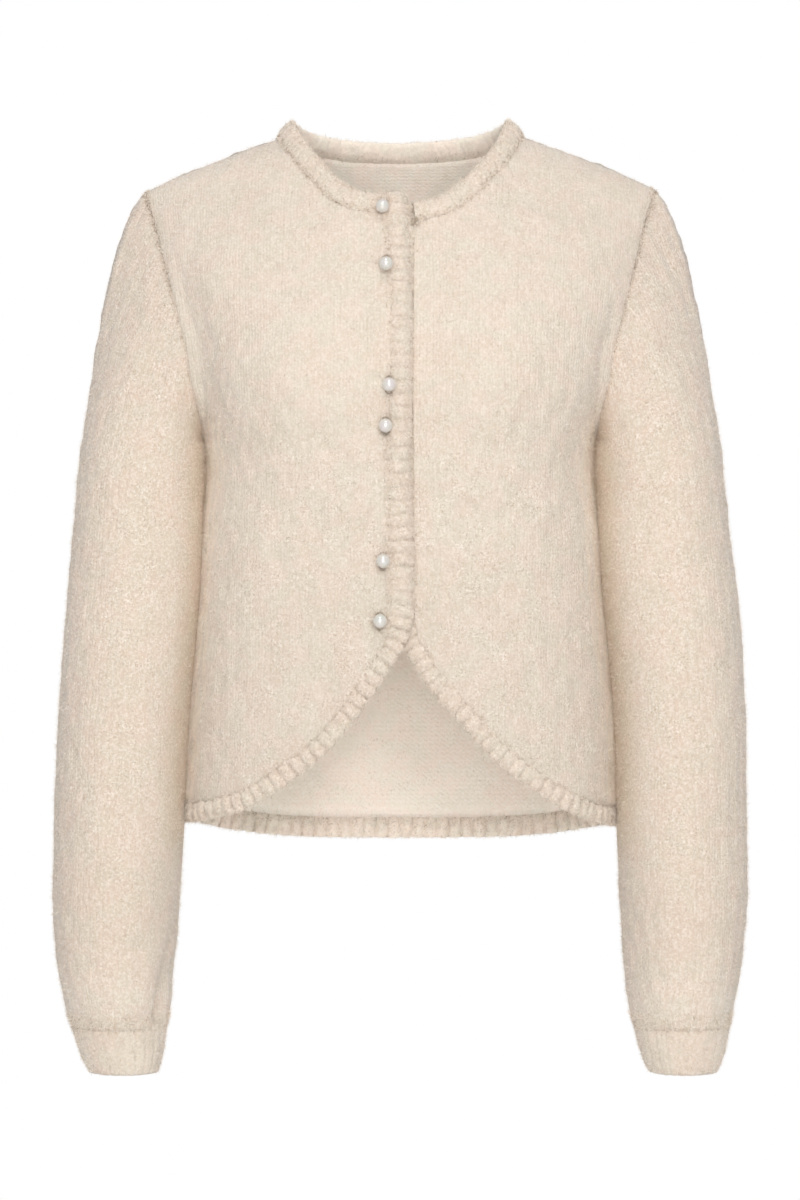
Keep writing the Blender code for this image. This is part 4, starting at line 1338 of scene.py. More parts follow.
NAP = {
    "front": Fibres(34000),
    "back": Fibres(60000),
    "sleeve": Fibres(60000),
    "flank": Fibres(2600, 0.0036, 0.00016),
    "armhole": Fibres(4600, 0.0030, 0.00016),
    "cuff_join": Fibres(2600, 0.0036, 0.00016),
    "cuff": Fibres(6000, 0.0026, 0.00012),
    "band": Fibres(11000, 0.0026, 0.00013),
    "band_edge": Fibres(4000, 0.0030, 0.00015),
    "band_seam": Fibres(2600, 0.0026, 0.00016),
    "dark_stitches": Fibres(160, 0.0015, 0.00033),
    "neck_inner_seam": Fibres(1600, 0.0030, 0.00014),
    "hem_inner_stitches": Fibres(800, 0.0022, 0.00018),
    "hem_inside": Fibres(6000, 0.0026, 0.00014),
    "hem_inner_seam": Fibres(2600, 0.0030, 0.00016),
    "first_button": Fibres(520, 0.0052),
    "button": Fibres(260, 0.0040),
    "shadow_tuft": Fibres(240, 0.0026, 0.00014),
}


class Panel:
    """A knitted panel: an outer grid with its wales raised, over a plain inner grid."""

    def __init__(
        self, name: str, base: Array, normals: Array, relief: Array, stitches: Array, ridge: float, wrap: bool
    ) -> None:
        """Builds the panel's mesh.

        Args:
            name: the piece's and the solid's name.
            base: columns and rows of points of the smooth outer surface.
            normals: outward normals there.
            relief: how far creases and seams move the cloth there.
            stitches: (wales, courses) there, with the first column repeated if it goes all round.
            ridge: the height of the wales.
            wrap: whether the last column meets the first.
        """
        self.name, self.normals, self.wrap = name, normals, wrap
        stray = KNIT.straying(base)
        stray = np.concatenate([stray, stray[:1]]) if wrap else stray
        stitches = stitches + np.stack([stray, 0 * stray], axis=-1)
        wales = stitches[: len(base), :, 0]
        moved = base + normals * relief[..., None]
        self.outer = moved + normals * (ridge * KNIT.ridges(wales))[..., None]
        inner = (moved - normals * KNIT.cloth)[::2, ::2]
        columns, rows = stitches.shape[:2]
        u, v = np.meshgrid(np.linspace(0.01, 0.64, columns), np.linspace(0.01, 0.99, rows), indexing="ij")
        bake = np.stack([u, v], axis=-1)
        inner_bake = np.stack([0.67 + u[::2, ::2] * 0.5, v[::2, ::2]], axis=-1)
        self.piece = wall(
            name + "_knit",
            Sheet(self.outer, stitches, bake, wrap),
            Sheet(inner, stitches[::2, ::2], inner_bake, wrap),
        )

    def nap(self, kind: str, seed: int) -> Array:
        """Loose fibres over the panel's outside.

        Args:
            kind: the name of the kind of nap.
            seed: the seed of their places.

        Returns:
            The fibres' corners.
        """
        points, normals = self.outer, self.normals
        if self.wrap:
            points, normals = (np.concatenate([grid, grid[:1]]) for grid in (points, normals))
        return NAP[kind].on(points, normals, seed)

    def stretch(self, kind: str, columns: slice, rows: slice, seed: int) -> Array:
        """Loose fibres over some of the panel's columns and rows."""
        return NAP[kind].on(self.outer[columns, rows], self.normals[columns, rows], seed)


def dress(piece: Piece, finishes: list[bpy.types.Material], slot: Slot, *nodes: str) -> None:
    """Gives a piece its finishes and the frame's body to ride on, and hides the solids it stands for.

    Args:
        piece: the piece.
        finishes: its materials, in the order of its material numbers.
        slot: not used.
        nodes: the solids that it replaces, if any.
    """
    for finish in finishes:
        piece.data.materials.append(finish)
    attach(piece, ROOT)
    if nodes:
        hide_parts(*nodes)
    log.info("%s: %d faces", piece.name, len(piece.data.polygons))


def torso_relief(base: Array, normals: Array) -> Array:
    """The creases of the body and the cloth's unevenness, as a height along the normals."""
    facing = normals[..., 1]
    sink = sum(crease.sink(base, facing) for crease in BODY_CREASES)
    return KNIT.unevenness(base) - sink


@dataclass(frozen=True)
class Front:
    """One of the two fronts, cut away below in a curve."""

    side: Side
    columns: int = 184
    rows: int = 132
    ridge: float = 0.00016

    def grid(self) -> Array:
        """(angle, height) points between the straight edge, the curved one, the seams and the neckline."""
        side, half = self.side, FRONTS[self.side]
        edge = Edge.front(side).panel_line()
        corner = np.interp(-PATTERN.corner_top, -edge[:, 1], np.arange(len(edge)))
        top = np.interp(-PATTERN.neck_bottom(side), -edge[:, 1], np.arange(len(edge)))
        ends = top, len(edge) - 1
        stretches = (read_along(np.arange(len(edge)), edge, np.linspace(corner, last, 600)) for last in ends)
        straight, curved = stretches
        start = half.evenly(straight, self.rows)
        bottom = half.by_wales(curved, self.columns)
        upper = joined(PATTERN.neckline(side, start[-1]), PATTERN.shoulder_seam(side))
        upper = half.by_wales(upper, self.columns)
        bottom[-1, 0] = side * QUARTER
        seam = np.linspace(bottom[-1], (side * QUARTER, PATTERN.underarm), 200)
        end = half.evenly(joined(seam, PATTERN.armhole(side, Face.FRONT, 200)[::-1]), self.rows)
        upper[-1] = end[-1]
        return coons(bottom, upper, start, end)

    def build(self) -> Panel:
        """The front as a panel."""
        half, grid = FRONTS[self.side], self.grid()
        base, normals = half.points(grid), half.normals(grid)
        blend_edges(normals)
        from_edge, from_side = cloth_distance(base, 0), cloth_distance(base, 0, True)
        from_hem, from_top = cloth_distance(base, 1), cloth_distance(base, 1, True)
        trims = np.minimum(from_edge, from_hem)
        relief = torso_relief(base, normals) * KNIT.calmed(np.minimum(trims, from_side), 0.25)
        relief -= KNIT.seam(from_side) + KNIT.seam(from_top) * (np.abs(base[..., 0]) > FIGURE.neck_x)
        relief += KNIT.beside_trim(from_hem) - 0.25 * KNIT.seam(trims)
        base[-1, :, 1] -= PATTERN.half_gap
        name = f"front_{self.side.name.lower()}"
        return Panel(name, base, normals, relief, half.stitches(grid), self.ridge, False)


def blend_edges(normals: Array) -> None:
    """Turns the normals near the borders gradually to those of the border, so that the cloth stays smooth.

    Args:
        normals: the grid of normals, which is changed in place.
    """
    for depth in range(3, 0, -1):
        share = depth / 4
        normals[depth] = unit(normals[depth] * share + normals[0] * (1 - share))
        normals[-1 - depth] = unit(normals[-1 - depth] * share + normals[-1] * (1 - share))
        normals[:, -1 - depth] = unit(normals[:, -1 - depth] * share + normals[:, -1] * (1 - share))


@dataclass(frozen=True)
class Back:
    """The back, from side seam to side seam."""

    columns: int = 392
    rows: int = 120
    ridge: float = 0.00016

    def grid(self) -> Array:
        """(angle, height) points between hem, side seams, armholes, shoulders and neckline."""
        bottom = BACK.by_wales(Edge.hem().panel_line(), self.columns)
        sides = []
        for side, low in ((Side.RIGHT, bottom[0]), (Side.LEFT, bottom[-1])):
            low[0] = side * QUARTER
            seam = np.linspace(low, (side * QUARTER, PATTERN.underarm), 200)
            sides.append(BACK.evenly(joined(seam, PATTERN.armhole(side, Face.BACK, 200)[::-1]), self.rows))
        neck = FIGURE.line_on(Side.LEFT, PATTERN.neck_back)
        neck[0] = PATTERN.shoulder_point(Side.LEFT, FIGURE.neck_x)
        neck = joined(neck * (-1, 1), neck[::-1])
        right, left = PATTERN.shoulder_seam(Side.RIGHT), PATTERN.shoulder_seam(Side.LEFT)
        upper = BACK.by_wales(joined(right[::-1], neck, left), self.columns)
        upper[0], upper[-1] = sides[0][-1], sides[1][-1]
        return coons(bottom, upper, sides[0], sides[1])

    def build(self) -> Panel:
        """The back as a panel."""
        grid = self.grid()
        base, normals = BACK.points(grid), BACK.normals(grid)
        blend_edges(normals)
        from_side = np.minimum(cloth_distance(base, 0), cloth_distance(base, 0, True))
        from_hem, from_top = cloth_distance(base, 1), cloth_distance(base, 1, True)
        relief = torso_relief(base, normals) * KNIT.calmed(np.minimum(from_hem, from_side), 0.25)
        relief -= KNIT.seam(from_side) + KNIT.seam(from_top) * (np.abs(base[..., 0]) > FIGURE.neck_x)
        base[[0, -1], :, 1] += PATTERN.half_gap
        return Panel("back", base, normals, relief, BACK.stitches(grid), self.ridge, False)


@dataclass(frozen=True)
class Sleeve:
    """A set-in sleeve and its ribbed cuff."""

    side: Side
    half_columns: int = 146
    cap_rows: int = 50
    arm_rows: int = 90
    wales: int = 73
    cap_fullness: float = 0.38
    arm_fullness: float = 0.85
    cap_lift: float = 0.25
    underarm_turn: float = 0.80
    cap_drop: float = 0.28
    hang_outward: float = 0.08
    twist: float = 0.45
    clearance: float = 0.0010
    tuck: float = 0.0030
    tuck_depth: float = 0.0004
    cuff_ribs: int = 25
    rib_samples: int = 8
    cuff_wall: float = 0.0030
    rib_depth: float = 0.0006
    cuff_rows: int = 17
    cuff_overlap: float = 0.0060
    cuff_seam: Pair = (0.0007, 0.0045)
    beside_body: Pair = (-0.50, -0.15)
    hug: float = 0.004
    ridge: float = 0.00008
    levels: Table = Table(
        ("height", "middle_x", "middle_y", "width", "depth", "squareness"),
        (
            (-0.2350, 0.18245, -0.012, 0.0899, 0.117, 2.4),
            (-0.2650, 0.18380, -0.017, 0.0926, 0.117, 2.4),
            (-0.2950, 0.18585, -0.022, 0.0947, 0.117, 2.35),
            (-0.3400, 0.18965, -0.028, 0.0933, 0.117, 2.3),
            (-0.4000, 0.19365, -0.033, 0.0913, 0.116, 2.2),
            (-0.4669, 0.19555, -0.037, 0.0901, 0.114, 2.2),
            (-0.5225, 0.1974, -0.039, 0.0865, 0.110, 2.2),
            (-0.5641, 0.1966, -0.040, 0.0796, 0.103, 2.2),
            (-0.5849, 0.1957, -0.041, 0.0742, 0.095, 2.1),
            (-0.6040, 0.1954, -0.042, 0.0655, 0.080, 2.0),
        ),
    )
    cuff_levels: Table = Table(
        ("height", "middle_x", "middle_y", "width", "depth", "squareness"),
        (
            (-0.6044, 0.1954, -0.042, 0.0655, 0.0800, 2.0),
            (-0.6190, 0.1950, -0.042, 0.0592, 0.071, 2.0),
            (-0.6345, 0.1942, -0.042, 0.0490, 0.062, 2.0),
        ),
    )
    sway: Table = Table(
        ("height", "shift"),
        (
            (-0.100, 0.0000),
            (-0.250, 0.0008),
            (-0.340, 0.0018),
            (-0.420, 0.0010),
            (-0.500, 0.0000),
            (-0.600, 0.0003),
            (-0.640, 0.0026),
        ),
    )

    @property
    def tag(self) -> str:
        """The end of the names of its pieces."""
        return self.side.name.lower()

    def start(self) -> tuple[Array, Array, Array]:
        """The armhole as a closed ring.

        Returns:
            Its points, the cloth's normals there and the way in which the sleeve sets off.
        """
        side, steps = self.side, self.half_columns
        front, back = (PATTERN.armhole(side, face, steps) for face in Face)
        points = joined(Half(Face.FRONT).points(front), BACK.points(back)[::-1])[:-1]
        normals = np.concatenate([Half(Face.FRONT).normals(front), BACK.normals(back)[-2:0:-1]])
        along = unit(np.roll(points, -1, axis=0) - np.roll(points, 1, axis=0))
        away = unit(np.cross(along, normals))
        turned = np.sign(away[steps // 2, 0] * side)
        away = away * turned
        lower = ((points[0, 2] - points[:, 2]) / (points[0, 2] - PATTERN.underarm))[:, None]
        lift = self.cap_lift * (1 - lower) + self.underarm_turn * lower
        down = np.array([0.0, 0.0, -1.0]) * (self.cap_drop + (1 - self.cap_drop) * lower)
        leaving = unit(away * (1 - lower) + normals * lift + down)
        seam_normals = unit(normals + unit(np.cross(leaving, along)) * turned)
        across = unit(np.cross(along, seam_normals)) * turned
        return points - across * self.tuck - seam_normals * self.tuck_depth, seam_normals, leaving

    def ring(self, levels: Table, z: Array, turn: Array) -> Array:
        """A rounded oval round the arm: turn 0 is its outer side, and a quarter turn its front.

        Args:
            levels: the table of sizes.
            z: heights.
            turn: angles round the arm.

        Returns:
            Points in metres.
        """
        power = 2 / levels.read("squareness", z)
        cosine, sine = np.cos(turn), np.sin(turn)
        x = levels.read("width", z) / 2 * np.sign(cosine) * np.abs(cosine) ** power
        y = levels.read("depth", z) / 2 * np.sign(sine) * np.abs(sine) ** power
        x = levels.read("middle_x", z) + x + self.side * self.sway.read("shift", z)
        return np.stack([self.side * x, levels.read("middle_y", z) - y, z + 0 * x], axis=-1)

    def clear_of_torso(self, points: Array, clearance: Array) -> Array:
        """The inner side of the sleeve gives way to the body beside it.

        Args:
            points: the sleeve's points.
            clearance: the least distance from the body, row by row.

        Returns:
            The points moved outwards where they need it.
        """
        y, z = points[..., 1], points[..., 2]
        wide = FIGURE.at("side_y", z)
        reach = np.where(y < wide, FIGURE.at("front_y", z), FIGURE.at("back_y", z)) - wide
        power = FIGURE.at("squareness", z)
        share = np.clip(np.abs((y - wide) / reach), 0.0, 1.0)
        flank = FIGURE.at("half_width", z) * (1 - share**power) ** (1 / power)
        beside = (z < PATTERN.underarm) & (share < 1)
        clear = np.where(beside, flank + clearance, 0.0)
        past = np.maximum(self.side * points[..., 0] - clear, 0.0)
        held = self.hug * np.exp(-((past / 0.014) ** 2)) * np.clip((z + 0.30) / 0.05, 0.0, 1.0) * beside
        moved = points.copy()
        moved[..., 0] = self.side * (clear + past * past / (past + held + 1e-9))
        return moved

    def grid(self) -> tuple[Array, Array]:
        """Points of the sleeve from the seam to the cuff: a cubic cap, then ovals round the arm.

        Returns:
            The points and the normals at the seam.
        """
        start, seam_normals, leaving = self.start()
        turn = np.linspace(0, 2 * math.pi, len(start), endpoint=False)
        turn = turn + self.twist * np.sin(turn / 2) ** 2
        rows = self.levels.rows
        heights = np.linspace(rows[0][0], rows[-1][0], self.arm_rows + 1)
        arm = self.ring(self.levels, heights[None, :], turn[:, None])
        end = arm[:, 0]
        reach = np.linalg.norm(end - start, axis=1)[:, None, None]
        share = np.linspace(0.0, 1.0, self.cap_rows + 1)[None, :, None]
        rise = share * share * (3 - 2 * share)
        set_off = share * (1 - share) ** 2 * reach * self.cap_fullness * leaving[:, None]
        hang = np.array([self.hang_outward * self.side, 0.0, -1.0])
        arrive = share * share * (share - 1) * reach * self.arm_fullness * hang
        cap = start[:, None] * (1 - rise) + end[:, None] * rise + set_off + arrive
        grid = np.concatenate([cap, arm[:, 1:]], axis=1)
        ramp = self.clearance * np.clip(np.arange(grid.shape[1]) * 4 / self.cap_rows, 0.0, 1.0)
        return self.clear_of_torso(grid, ramp), seam_normals

    def build(self) -> Panel:
        """The sleeve as a panel that goes all round."""
        base, seam_normals = self.grid()
        normals = grid_normals(base, (self.side, 0, 0), True)
        normals[:, 0] = seam_normals
        for row in (1, 2, 3):
            normals[:, row] = unit(normals[:, row] * row / 4 + seam_normals * (1 - row / 4))
        from_seam, from_cuff = cloth_distance(base, 1), cloth_distance(base, 1, True)
        sink = sum(crease.sink(base, normals[..., 1]) for crease in SLEEVE_CREASES)
        relief = (KNIT.unevenness(base) - sink) * KNIT.calmed(np.minimum(from_seam, from_cuff), 0.2)
        low, high = self.beside_body
        beside_body = (base[..., 2] < high) & (base[..., 2] > low)
        inner_side = np.clip(-self.side * normals[..., 0], 0.0, 1.0) * beside_body
        depth, reach = self.cuff_seam
        relief = relief * (1 - inner_side) - KNIT.seam(from_seam)
        relief -= depth * np.exp(-((from_cuff / reach) ** 2))
        columns = len(base)
        wales = np.arange(columns + 1) * self.wales / columns
        down = np.concatenate([from_seam, from_seam[:1]])
        stitches = np.stack([np.broadcast_to(wales[:, None], down.shape), -down / KNIT.course], axis=-1)
        return Panel(f"sleeve_{self.tag}", base, normals, relief, stitches, self.ridge, True)

    def build_cuff(self) -> tuple[Piece, Array, Array]:
        """The cuff: a rounded wall round the wrist, ribbed outside and more faintly inside.

        Returns:
            The object, with its outer points and normals.
        """
        columns = self.cuff_ribs * self.rib_samples
        turn = np.linspace(0, 2 * math.pi, columns, endpoint=False)
        top, foot = self.cuff_levels.rows[0][0], self.cuff_levels.rows[-1][0]
        heights = np.linspace(top + self.cuff_overlap, foot, self.cuff_rows)
        centre = self.ring(self.cuff_levels, np.minimum(heights, top)[None, :], turn[:, None])
        centre[..., 2] = heights
        normals = grid_normals(centre, (self.side, 0, 0), True)
        ribs = np.arange(columns) / self.rib_samples
        down = np.linspace(0.0, 1.0, self.cuff_rows)
        stray = KNIT.straying(centre) * 0.8
        groove = 1 - np.abs(np.sin(math.pi * (ribs[:, None] + stray))) ** 0.6
        groove = groove * np.clip(0.25 + 2.5 * down, 0.0, 1.0)
        hem = 0.0009 * np.clip(down - 0.8, 0.0, 0.2) / 0.2
        outer = centre - normals * (self.rib_depth * groove + hem)[..., None]
        outer = outer + normals * (KNIT.unevenness(centre) * (0.2 + 0.3 * down))[..., None]
        inner = centre - normals * (self.cuff_wall - 0.0005 * groove - hem * 0.8)[..., None]
        loops = np.concatenate([outer, inner[:, ::-2]], axis=1)
        courses = (heights[0] - heights) / KNIT.course
        courses = np.concatenate([courses, courses[::-2]])
        stitches = np.stack(np.broadcast_arrays(ribs[:, None], courses[None, :]), axis=-1)
        return tube(f"cuff_{self.tag}_rib", loops, stitches, True, self.cuff_rows - 1), outer, normals


# ---- the ribbed bands


@dataclass(frozen=True)
class RibbedBand:
    """A ribbed band along a line: its free side is rolled and its ribs run across it."""

    name: str
    seed: int
    pitch: float = 0.0090
    crown: float = 0.0024
    back: float = 0.0032
    sunk: float = 0.0006
    overlap: float = 0.0045
    free_side: float = -0.0016
    curl: float = 0.0
    rib_depth: float = 0.0016
    back_ribs: float = 0.5
    scallop: float = 0.045
    sharpness: float = 0.60
    lump: float = 0.00022
    slant: float = 0.10
    curve_lumps: float = 0.9
    curve_from: Pair = (-0.305, 0.030)
    curl_from: Pair = (-0.325, 0.020)
    curl_power: float = 80.0
    roll_flatness: float = 2.4
    seam_sunk: float = 0.45
    half_section: int = 13
    steps: tuple = (0.0, 0.045, 0.10, 0.19, 0.33, 0.5, 0.67, 0.81, 0.90, 0.955)

    def stations(self, length: float) -> Array:
        """Rib numbers of the stations, closer together at the grooves."""
        ribs = max(1, round(length / self.pitch))
        return np.append((np.arange(ribs)[:, None] + np.array(self.steps)).ravel(), ribs)

    def build(
        self, points: Array, across: Array, normals: Array, widths: Array
    ) -> tuple[Piece, Array, Array]:
        """The band as a closed body.

        The front of its section is an arch from the rolled free side that runs down into the panel at the
        seam, and the back is a like arch inwards. Each groove lowers both, pulls the free side in, slants a
        little, and each rib has its own height.

        Args:
            points: the line of its free side.
            across: unit vectors over its width.
            normals: outward unit vectors.
            widths: its width along the line.

        Returns:
            The object, with its loops of points, the outer ones first, and its outward normals.
        """
        random = np.random.default_rng(self.seed)
        along = lengths_along(points)
        count = self.stations(along[-1])
        wanted = count / count[-1] * along[-1]
        points, across, normals = (read_along(along, value, wanted) for value in (points, across, normals))
        widths = np.interp(wanted, along, widths) + self.overlap
        top, reach = self.curve_from
        lumps = 1 + self.curve_lumps * np.clip((top - points[:, 2]) / reach, 0.0, 1.0)
        share = (1 - np.cos(np.linspace(0.0, math.pi, self.half_section)))[None, :] / 2
        marks = np.arange(int(count[-1]) + 2)
        own = [np.interp(count, marks, random.uniform(-1, 1, len(marks)))[:, None] for _ in range(3)]
        phase = count[:, None] + self.slant * own[0] * (share - 0.5) + 0.05 * np.sin(9 * share + 7 * own[1])
        groove = (1 - np.abs(np.sin(math.pi * phase)) ** self.sharpness) * lumps[:, None] ** 0.5
        groove = groove * np.clip(1.25 - share**3, 0.0, 1.0) * (1 + 0.25 * own[2])
        from_middle = 2 * share - 1
        foot, reach = self.curl_from
        curled = self.curl * np.clip((points[:, 2] - foot) / reach, 0.0, 1.0)[:, None]
        rolled = (1 - np.abs(from_middle) ** self.roll_flatness) ** (0.5 + self.curl_power * curled)
        arch = np.where(from_middle > 0, (1 + np.cos(math.pi * from_middle)) / 2, rolled)
        free = self.free_side - curled
        side = np.where(share > 0.5, -self.sunk, free)
        front = side + (self.crown * (1 + 0.10 * own[1]) - side) * arch
        front = front - self.rib_depth * groove * (0.3 + 0.7 * arch)
        side = np.where(share > 0.5, -KNIT.cloth * self.seam_sunk, free)
        behind = side + (-self.back - side) * arch + self.back_ribs * self.rib_depth * groove * arch
        pulled = self.scallop * lumps[:, None] * groove * (1 - share) ** 2 * (1 + 0.5 * own[0])
        share = np.clip(share + pulled, 0.0, 1.0)
        heights = np.concatenate([front, behind[:, -2:0:-1]], axis=1)
        shares = np.concatenate([share, share[:, -2:0:-1]], axis=1)
        loops = points[:, None] + across[:, None] * (widths[:, None] * shares)[..., None]
        loops = loops + normals[:, None] * heights[..., None]
        uneven = 0.6 * KNIT.unevenness(loops) + self.lump * waves(loops, 17, np.geomspace(0.0028, 0.0065, 8))
        loops = loops + normals[:, None] * uneven[..., None]
        places = shares * widths[:, None] / KNIT.course
        stitches = np.stack(np.broadcast_arrays(count[:, None], places), axis=-1)
        made = tube(self.name, loops, stitches, False, self.half_section - 1)
        return made, loops, np.broadcast_to(normals[:, None], loops.shape)


@dataclass(frozen=True)
class Neckband:
    """The neckband, from the right front's band round the back to the left front's."""

    width: float = 0.0125
    extra: float = 0.0035
    lift: float = 0.80
    end_gap: float = 0.0010

    def line(self) -> tuple[Array, Array, Array, Array]:
        """The neckband's free side with the directions that the band is built in.

        Returns:
            Points, directions over its width to the seam, normals and widths.
        """
        points, normals = [], []
        for side in Side:
            edge = Edge.front(side).panel_line()
            index = np.interp(-PATTERN.neck_bottom(side), -edge[:, 1], np.arange(len(edge)))
            start = read_along(np.arange(len(edge)), edge, np.array([index]))[0]
            line = FRONTS[side].evenly(PATTERN.neckline(side, start), 60)
            points.append(FRONTS[side].points(line))
            normals.append(FRONTS[side].normals(line))
        half = FIGURE.line_on(Side.LEFT, PATTERN.neck_back)
        half[0] = PATTERN.shoulder_point(Side.LEFT, FIGURE.neck_x)
        back = BACK.evenly(joined(half * (-1, 1), half[::-1]), 120)
        points = joined(points[0], BACK.points(back), points[1][::-1])
        normals = joined(normals[0], BACK.normals(back), normals[1][::-1])
        for _ in range(6):
            normals[1:-1] = unit(normals[:-2] + normals[1:-1] + normals[2:])
        across = unit(np.cross(normals, unit(np.gradient(points, axis=0))))
        across = across * np.sign(across[len(across) // 2, 2])
        across[0] = across[-1] = (0.0, 0.0, 1.0)
        roof = np.abs(normals[:, 2])
        across = unit(across + np.array([0.0, 0.0, self.lift]) * roof[:, None])
        normals = unit(normals - across * np.sum(normals * across, axis=1)[:, None])
        points = points + across * PATTERN.seam_gap
        widths = self.width + self.extra * roof
        points, across, normals, widths = trimmed(self.end_gap, points, across, normals, widths)
        return points + across * widths[:, None], -across, normals, widths


# ---- pearl buttons


@dataclass(frozen=True)
class PearlButtons:
    """Six pearls with flat backs, each over a buttonhole ringed with dark yarn: painted shadow round the
    pearl.
    """

    count: int = 6
    radius: float = 0.0047
    top_sunk: float = 0.0060
    back: float = 0.85
    segments: int = 40
    rings: int = 24
    hole_width: float = 0.0036
    hole_height: float = 0.0060
    yarn: float = 0.00055

    def centre(self, number: int) -> Array:
        """The middle of a button, where the frame has it, before the tilt of the shoulders.

        Args:
            number: the button's number, from the top.

        Returns:
            A point in metres.
        """
        low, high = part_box(f"button_{number}")
        depth = low.y + self.radius + (self.top_sunk if number == 1 else 0.0)
        centre = np.array([(low.x + high.x) / 2, depth, (low.z + high.z) / 2])
        return centre - settle_shift(centre)

    def build_pearl(self, number: int) -> Piece:
        """A pearl: a sphere worked out ring by ring, cut flat behind.

        Args:
            number: the button's number.

        Returns:
            The pearl.
        """
        turn = np.linspace(0, 2 * math.pi, self.segments, endpoint=False)[None, :]
        fall = np.linspace(0.12, math.pi - 0.12, self.rings)[:, None]
        depth = np.minimum(-np.cos(fall), self.back)
        out = np.sin(fall)
        rings = np.stack(np.broadcast_arrays(out * np.cos(turn), depth, out * np.sin(turn)), axis=-1)
        places = np.zeros((self.rings, self.segments, 2))
        return tube(f"pearl_{number}", self.centre(number) + self.radius * rings, places, False)

    def cloth_under(self, number: int) -> tuple[Array, Array]:
        """The cloth behind a button.

        Args:
            number: the button's number.

        Returns:
            The cloth's outer point and its normal there.
        """
        x, _, z = self.centre(number)
        line = np.array([[float(FIGURE.angle(np.array(x), np.array(z))), z]])
        over = FRONTS[Side.RIGHT]
        return over.points(line)[0], over.normals(line)[0]

    def build_hole(self, number: int) -> Piece:
        """A ring of dark yarn round a buttonhole, bent to an upright oval, its thickness beating along it:
        painted shadow round the pearl.

        Args:
            number: its button's number.

        Returns:
            The dark ring.
        """
        place, out = self.cloth_under(number)
        turn = np.linspace(0, 2 * math.pi, 72, endpoint=False)[:, None]
        round_yarn = np.linspace(0, 2 * math.pi, 8, endpoint=False)[None, :]
        thick = self.yarn * (1 + 0.35 * np.sin(14 * turn + number))
        x = (self.hole_width + thick * np.cos(round_yarn)) * np.cos(turn)
        z = (self.hole_height + thick * np.cos(round_yarn)) * np.sin(turn)
        raised = 0.0002 + thick * np.sin(round_yarn)
        loops = place + np.stack([x, 0 * x, z], axis=-1) + raised[..., None] * out
        places = np.stack(np.broadcast_arrays(turn * 3, round_yarn), axis=-1)
        return tube(f"buttonhole_{number}", loops, places, True)

    def fibres_round(self, number: int) -> Array:
        """Loose fibres that stand up from the cloth close round a button.

        Args:
            number: the button's number.

        Returns:
            The fibres' corners.
        """
        place, out = self.cloth_under(number)
        turn = np.linspace(0, 2 * math.pi, 25)[:, None]
        reach = np.linspace(0.0036, 0.0066, 4)[None, :]
        ring = place + np.stack([reach * np.cos(turn), 0 * reach * turn, 1.1 * reach * np.sin(turn)], axis=-1)
        kind = "first_button" if number == 1 else "button"
        return NAP[kind].on(ring, np.broadcast_to(out, ring.shape), 80 + number)


def shadow_tuft() -> Array:
    """Dark loose fibres where the neckband ends beside the right front's band: painted shadow in the pocket
    where it tucks under.
    """
    x, z = np.meshgrid(np.linspace(0.0070, 0.0135, 5), np.linspace(-0.0340, -0.0500, 9), indexing="ij")
    line = np.stack([FIGURE.angle(x, z), z], axis=-1)
    under = FRONTS[Side.LEFT]
    normals = under.normals(line)
    return NAP["shadow_tuft"].on(under.points(line) + normals * 0.0016, normals, 88)


def settle_shift(point: Array) -> Array:
    """How far the tilt of the shoulders moves a place, so that a piece set by the frame isn't moved twice."""
    return FIGURE.settle(point[None])[0] - point


# ---- the garment

LOOKS = {
    "brushed_stocking_stitch": {"low_shade": 0.13, "glow": 0.19},
    # The rib, cuff and sleeve finishes are the same yarn as the body; their creams differ from its cream as
    # painted shade on the ribs and sleeves and painted light on the cuffs, evening out how each part is lit.
    "brushed_rib": {
        "cream": (0.595, 0.513, 0.431), "stitch": 0.30, "groove": 0.0, "specks": 0.40, "calm_above": 0.8,
    },
    "brushed_cuff": {"cream": (0.695, 0.604, 0.512), "stitch": 0.30, "groove": 0.0, "specks": 0.45},
    "brushed_sleeve": {
        "cream": (0.590, 0.494, 0.407), "groove": 0.15, "specks": 0.42, "calm_above": 1.0,
        "columns": 73, "glow": 0.19,
    },
    # Painted light: the three inner-side finishes are the same wool made much paler than the outside,
    # standing in for the light that reaches the garment's inside.
    "inner_side": {
        "cream": (0.900, 0.815, 0.725), "warm": (0.865, 0.765, 0.665), "pale": (0.930, 0.870, 0.800),
        "purl": 1.0, "groove": 0.0, "streak": 0.0, "specks": 0.20, "calm_above": 1.0,
        "nap": 0.55, "stitch": 0.24,
    },
    "neck_inner_side": {
        "cream": (0.840, 0.755, 0.660), "warm": (0.790, 0.690, 0.590),
        "groove": 0.0, "stitch": 0.10, "specks": 0.20, "calm_above": 0.8,
    },
    "rib_inner_side": {
        "cream": (0.900, 0.805, 0.705), "warm": (0.815, 0.710, 0.600),
        "groove": 0.0, "stitch": 0.30, "specks": 0.45, "calm_above": 0.8,
    },
    # Painted shadow: a dark yarn for the rings round the buttonholes, standing in for the shade round each
    # pearl.
    "pearl_shadow_yarn": {
        "cream": (0.40, 0.33, 0.26), "warm": (0.30, 0.23, 0.17), "pale": (0.52, 0.44, 0.36), "groove": 0.0,
    },
}
OWN_RIBS = {
    "band_right": {"curl": 0.0054, "rib_depth": 0.0019},
    "hem_back": {"back": 0.0040, "back_ribs": 1.6, "scallop": 0.015},
    "neckband": {
        "back": 0.0044,
        "rib_depth": 0.0006,
        "back_ribs": 0.15,
        "scallop": 0.02,
        "crown": 0.0028,
        "lump": 0.00010,
    },
}
SEAM_FIBRES = {"band_right": 2600, "band_left": 2200, "hem_back": 1200, "neckband": 3200}
DARK_STITCHES = {"band_right": 160, "band_left": 160, "hem_back": 120, "neckband": 2100}
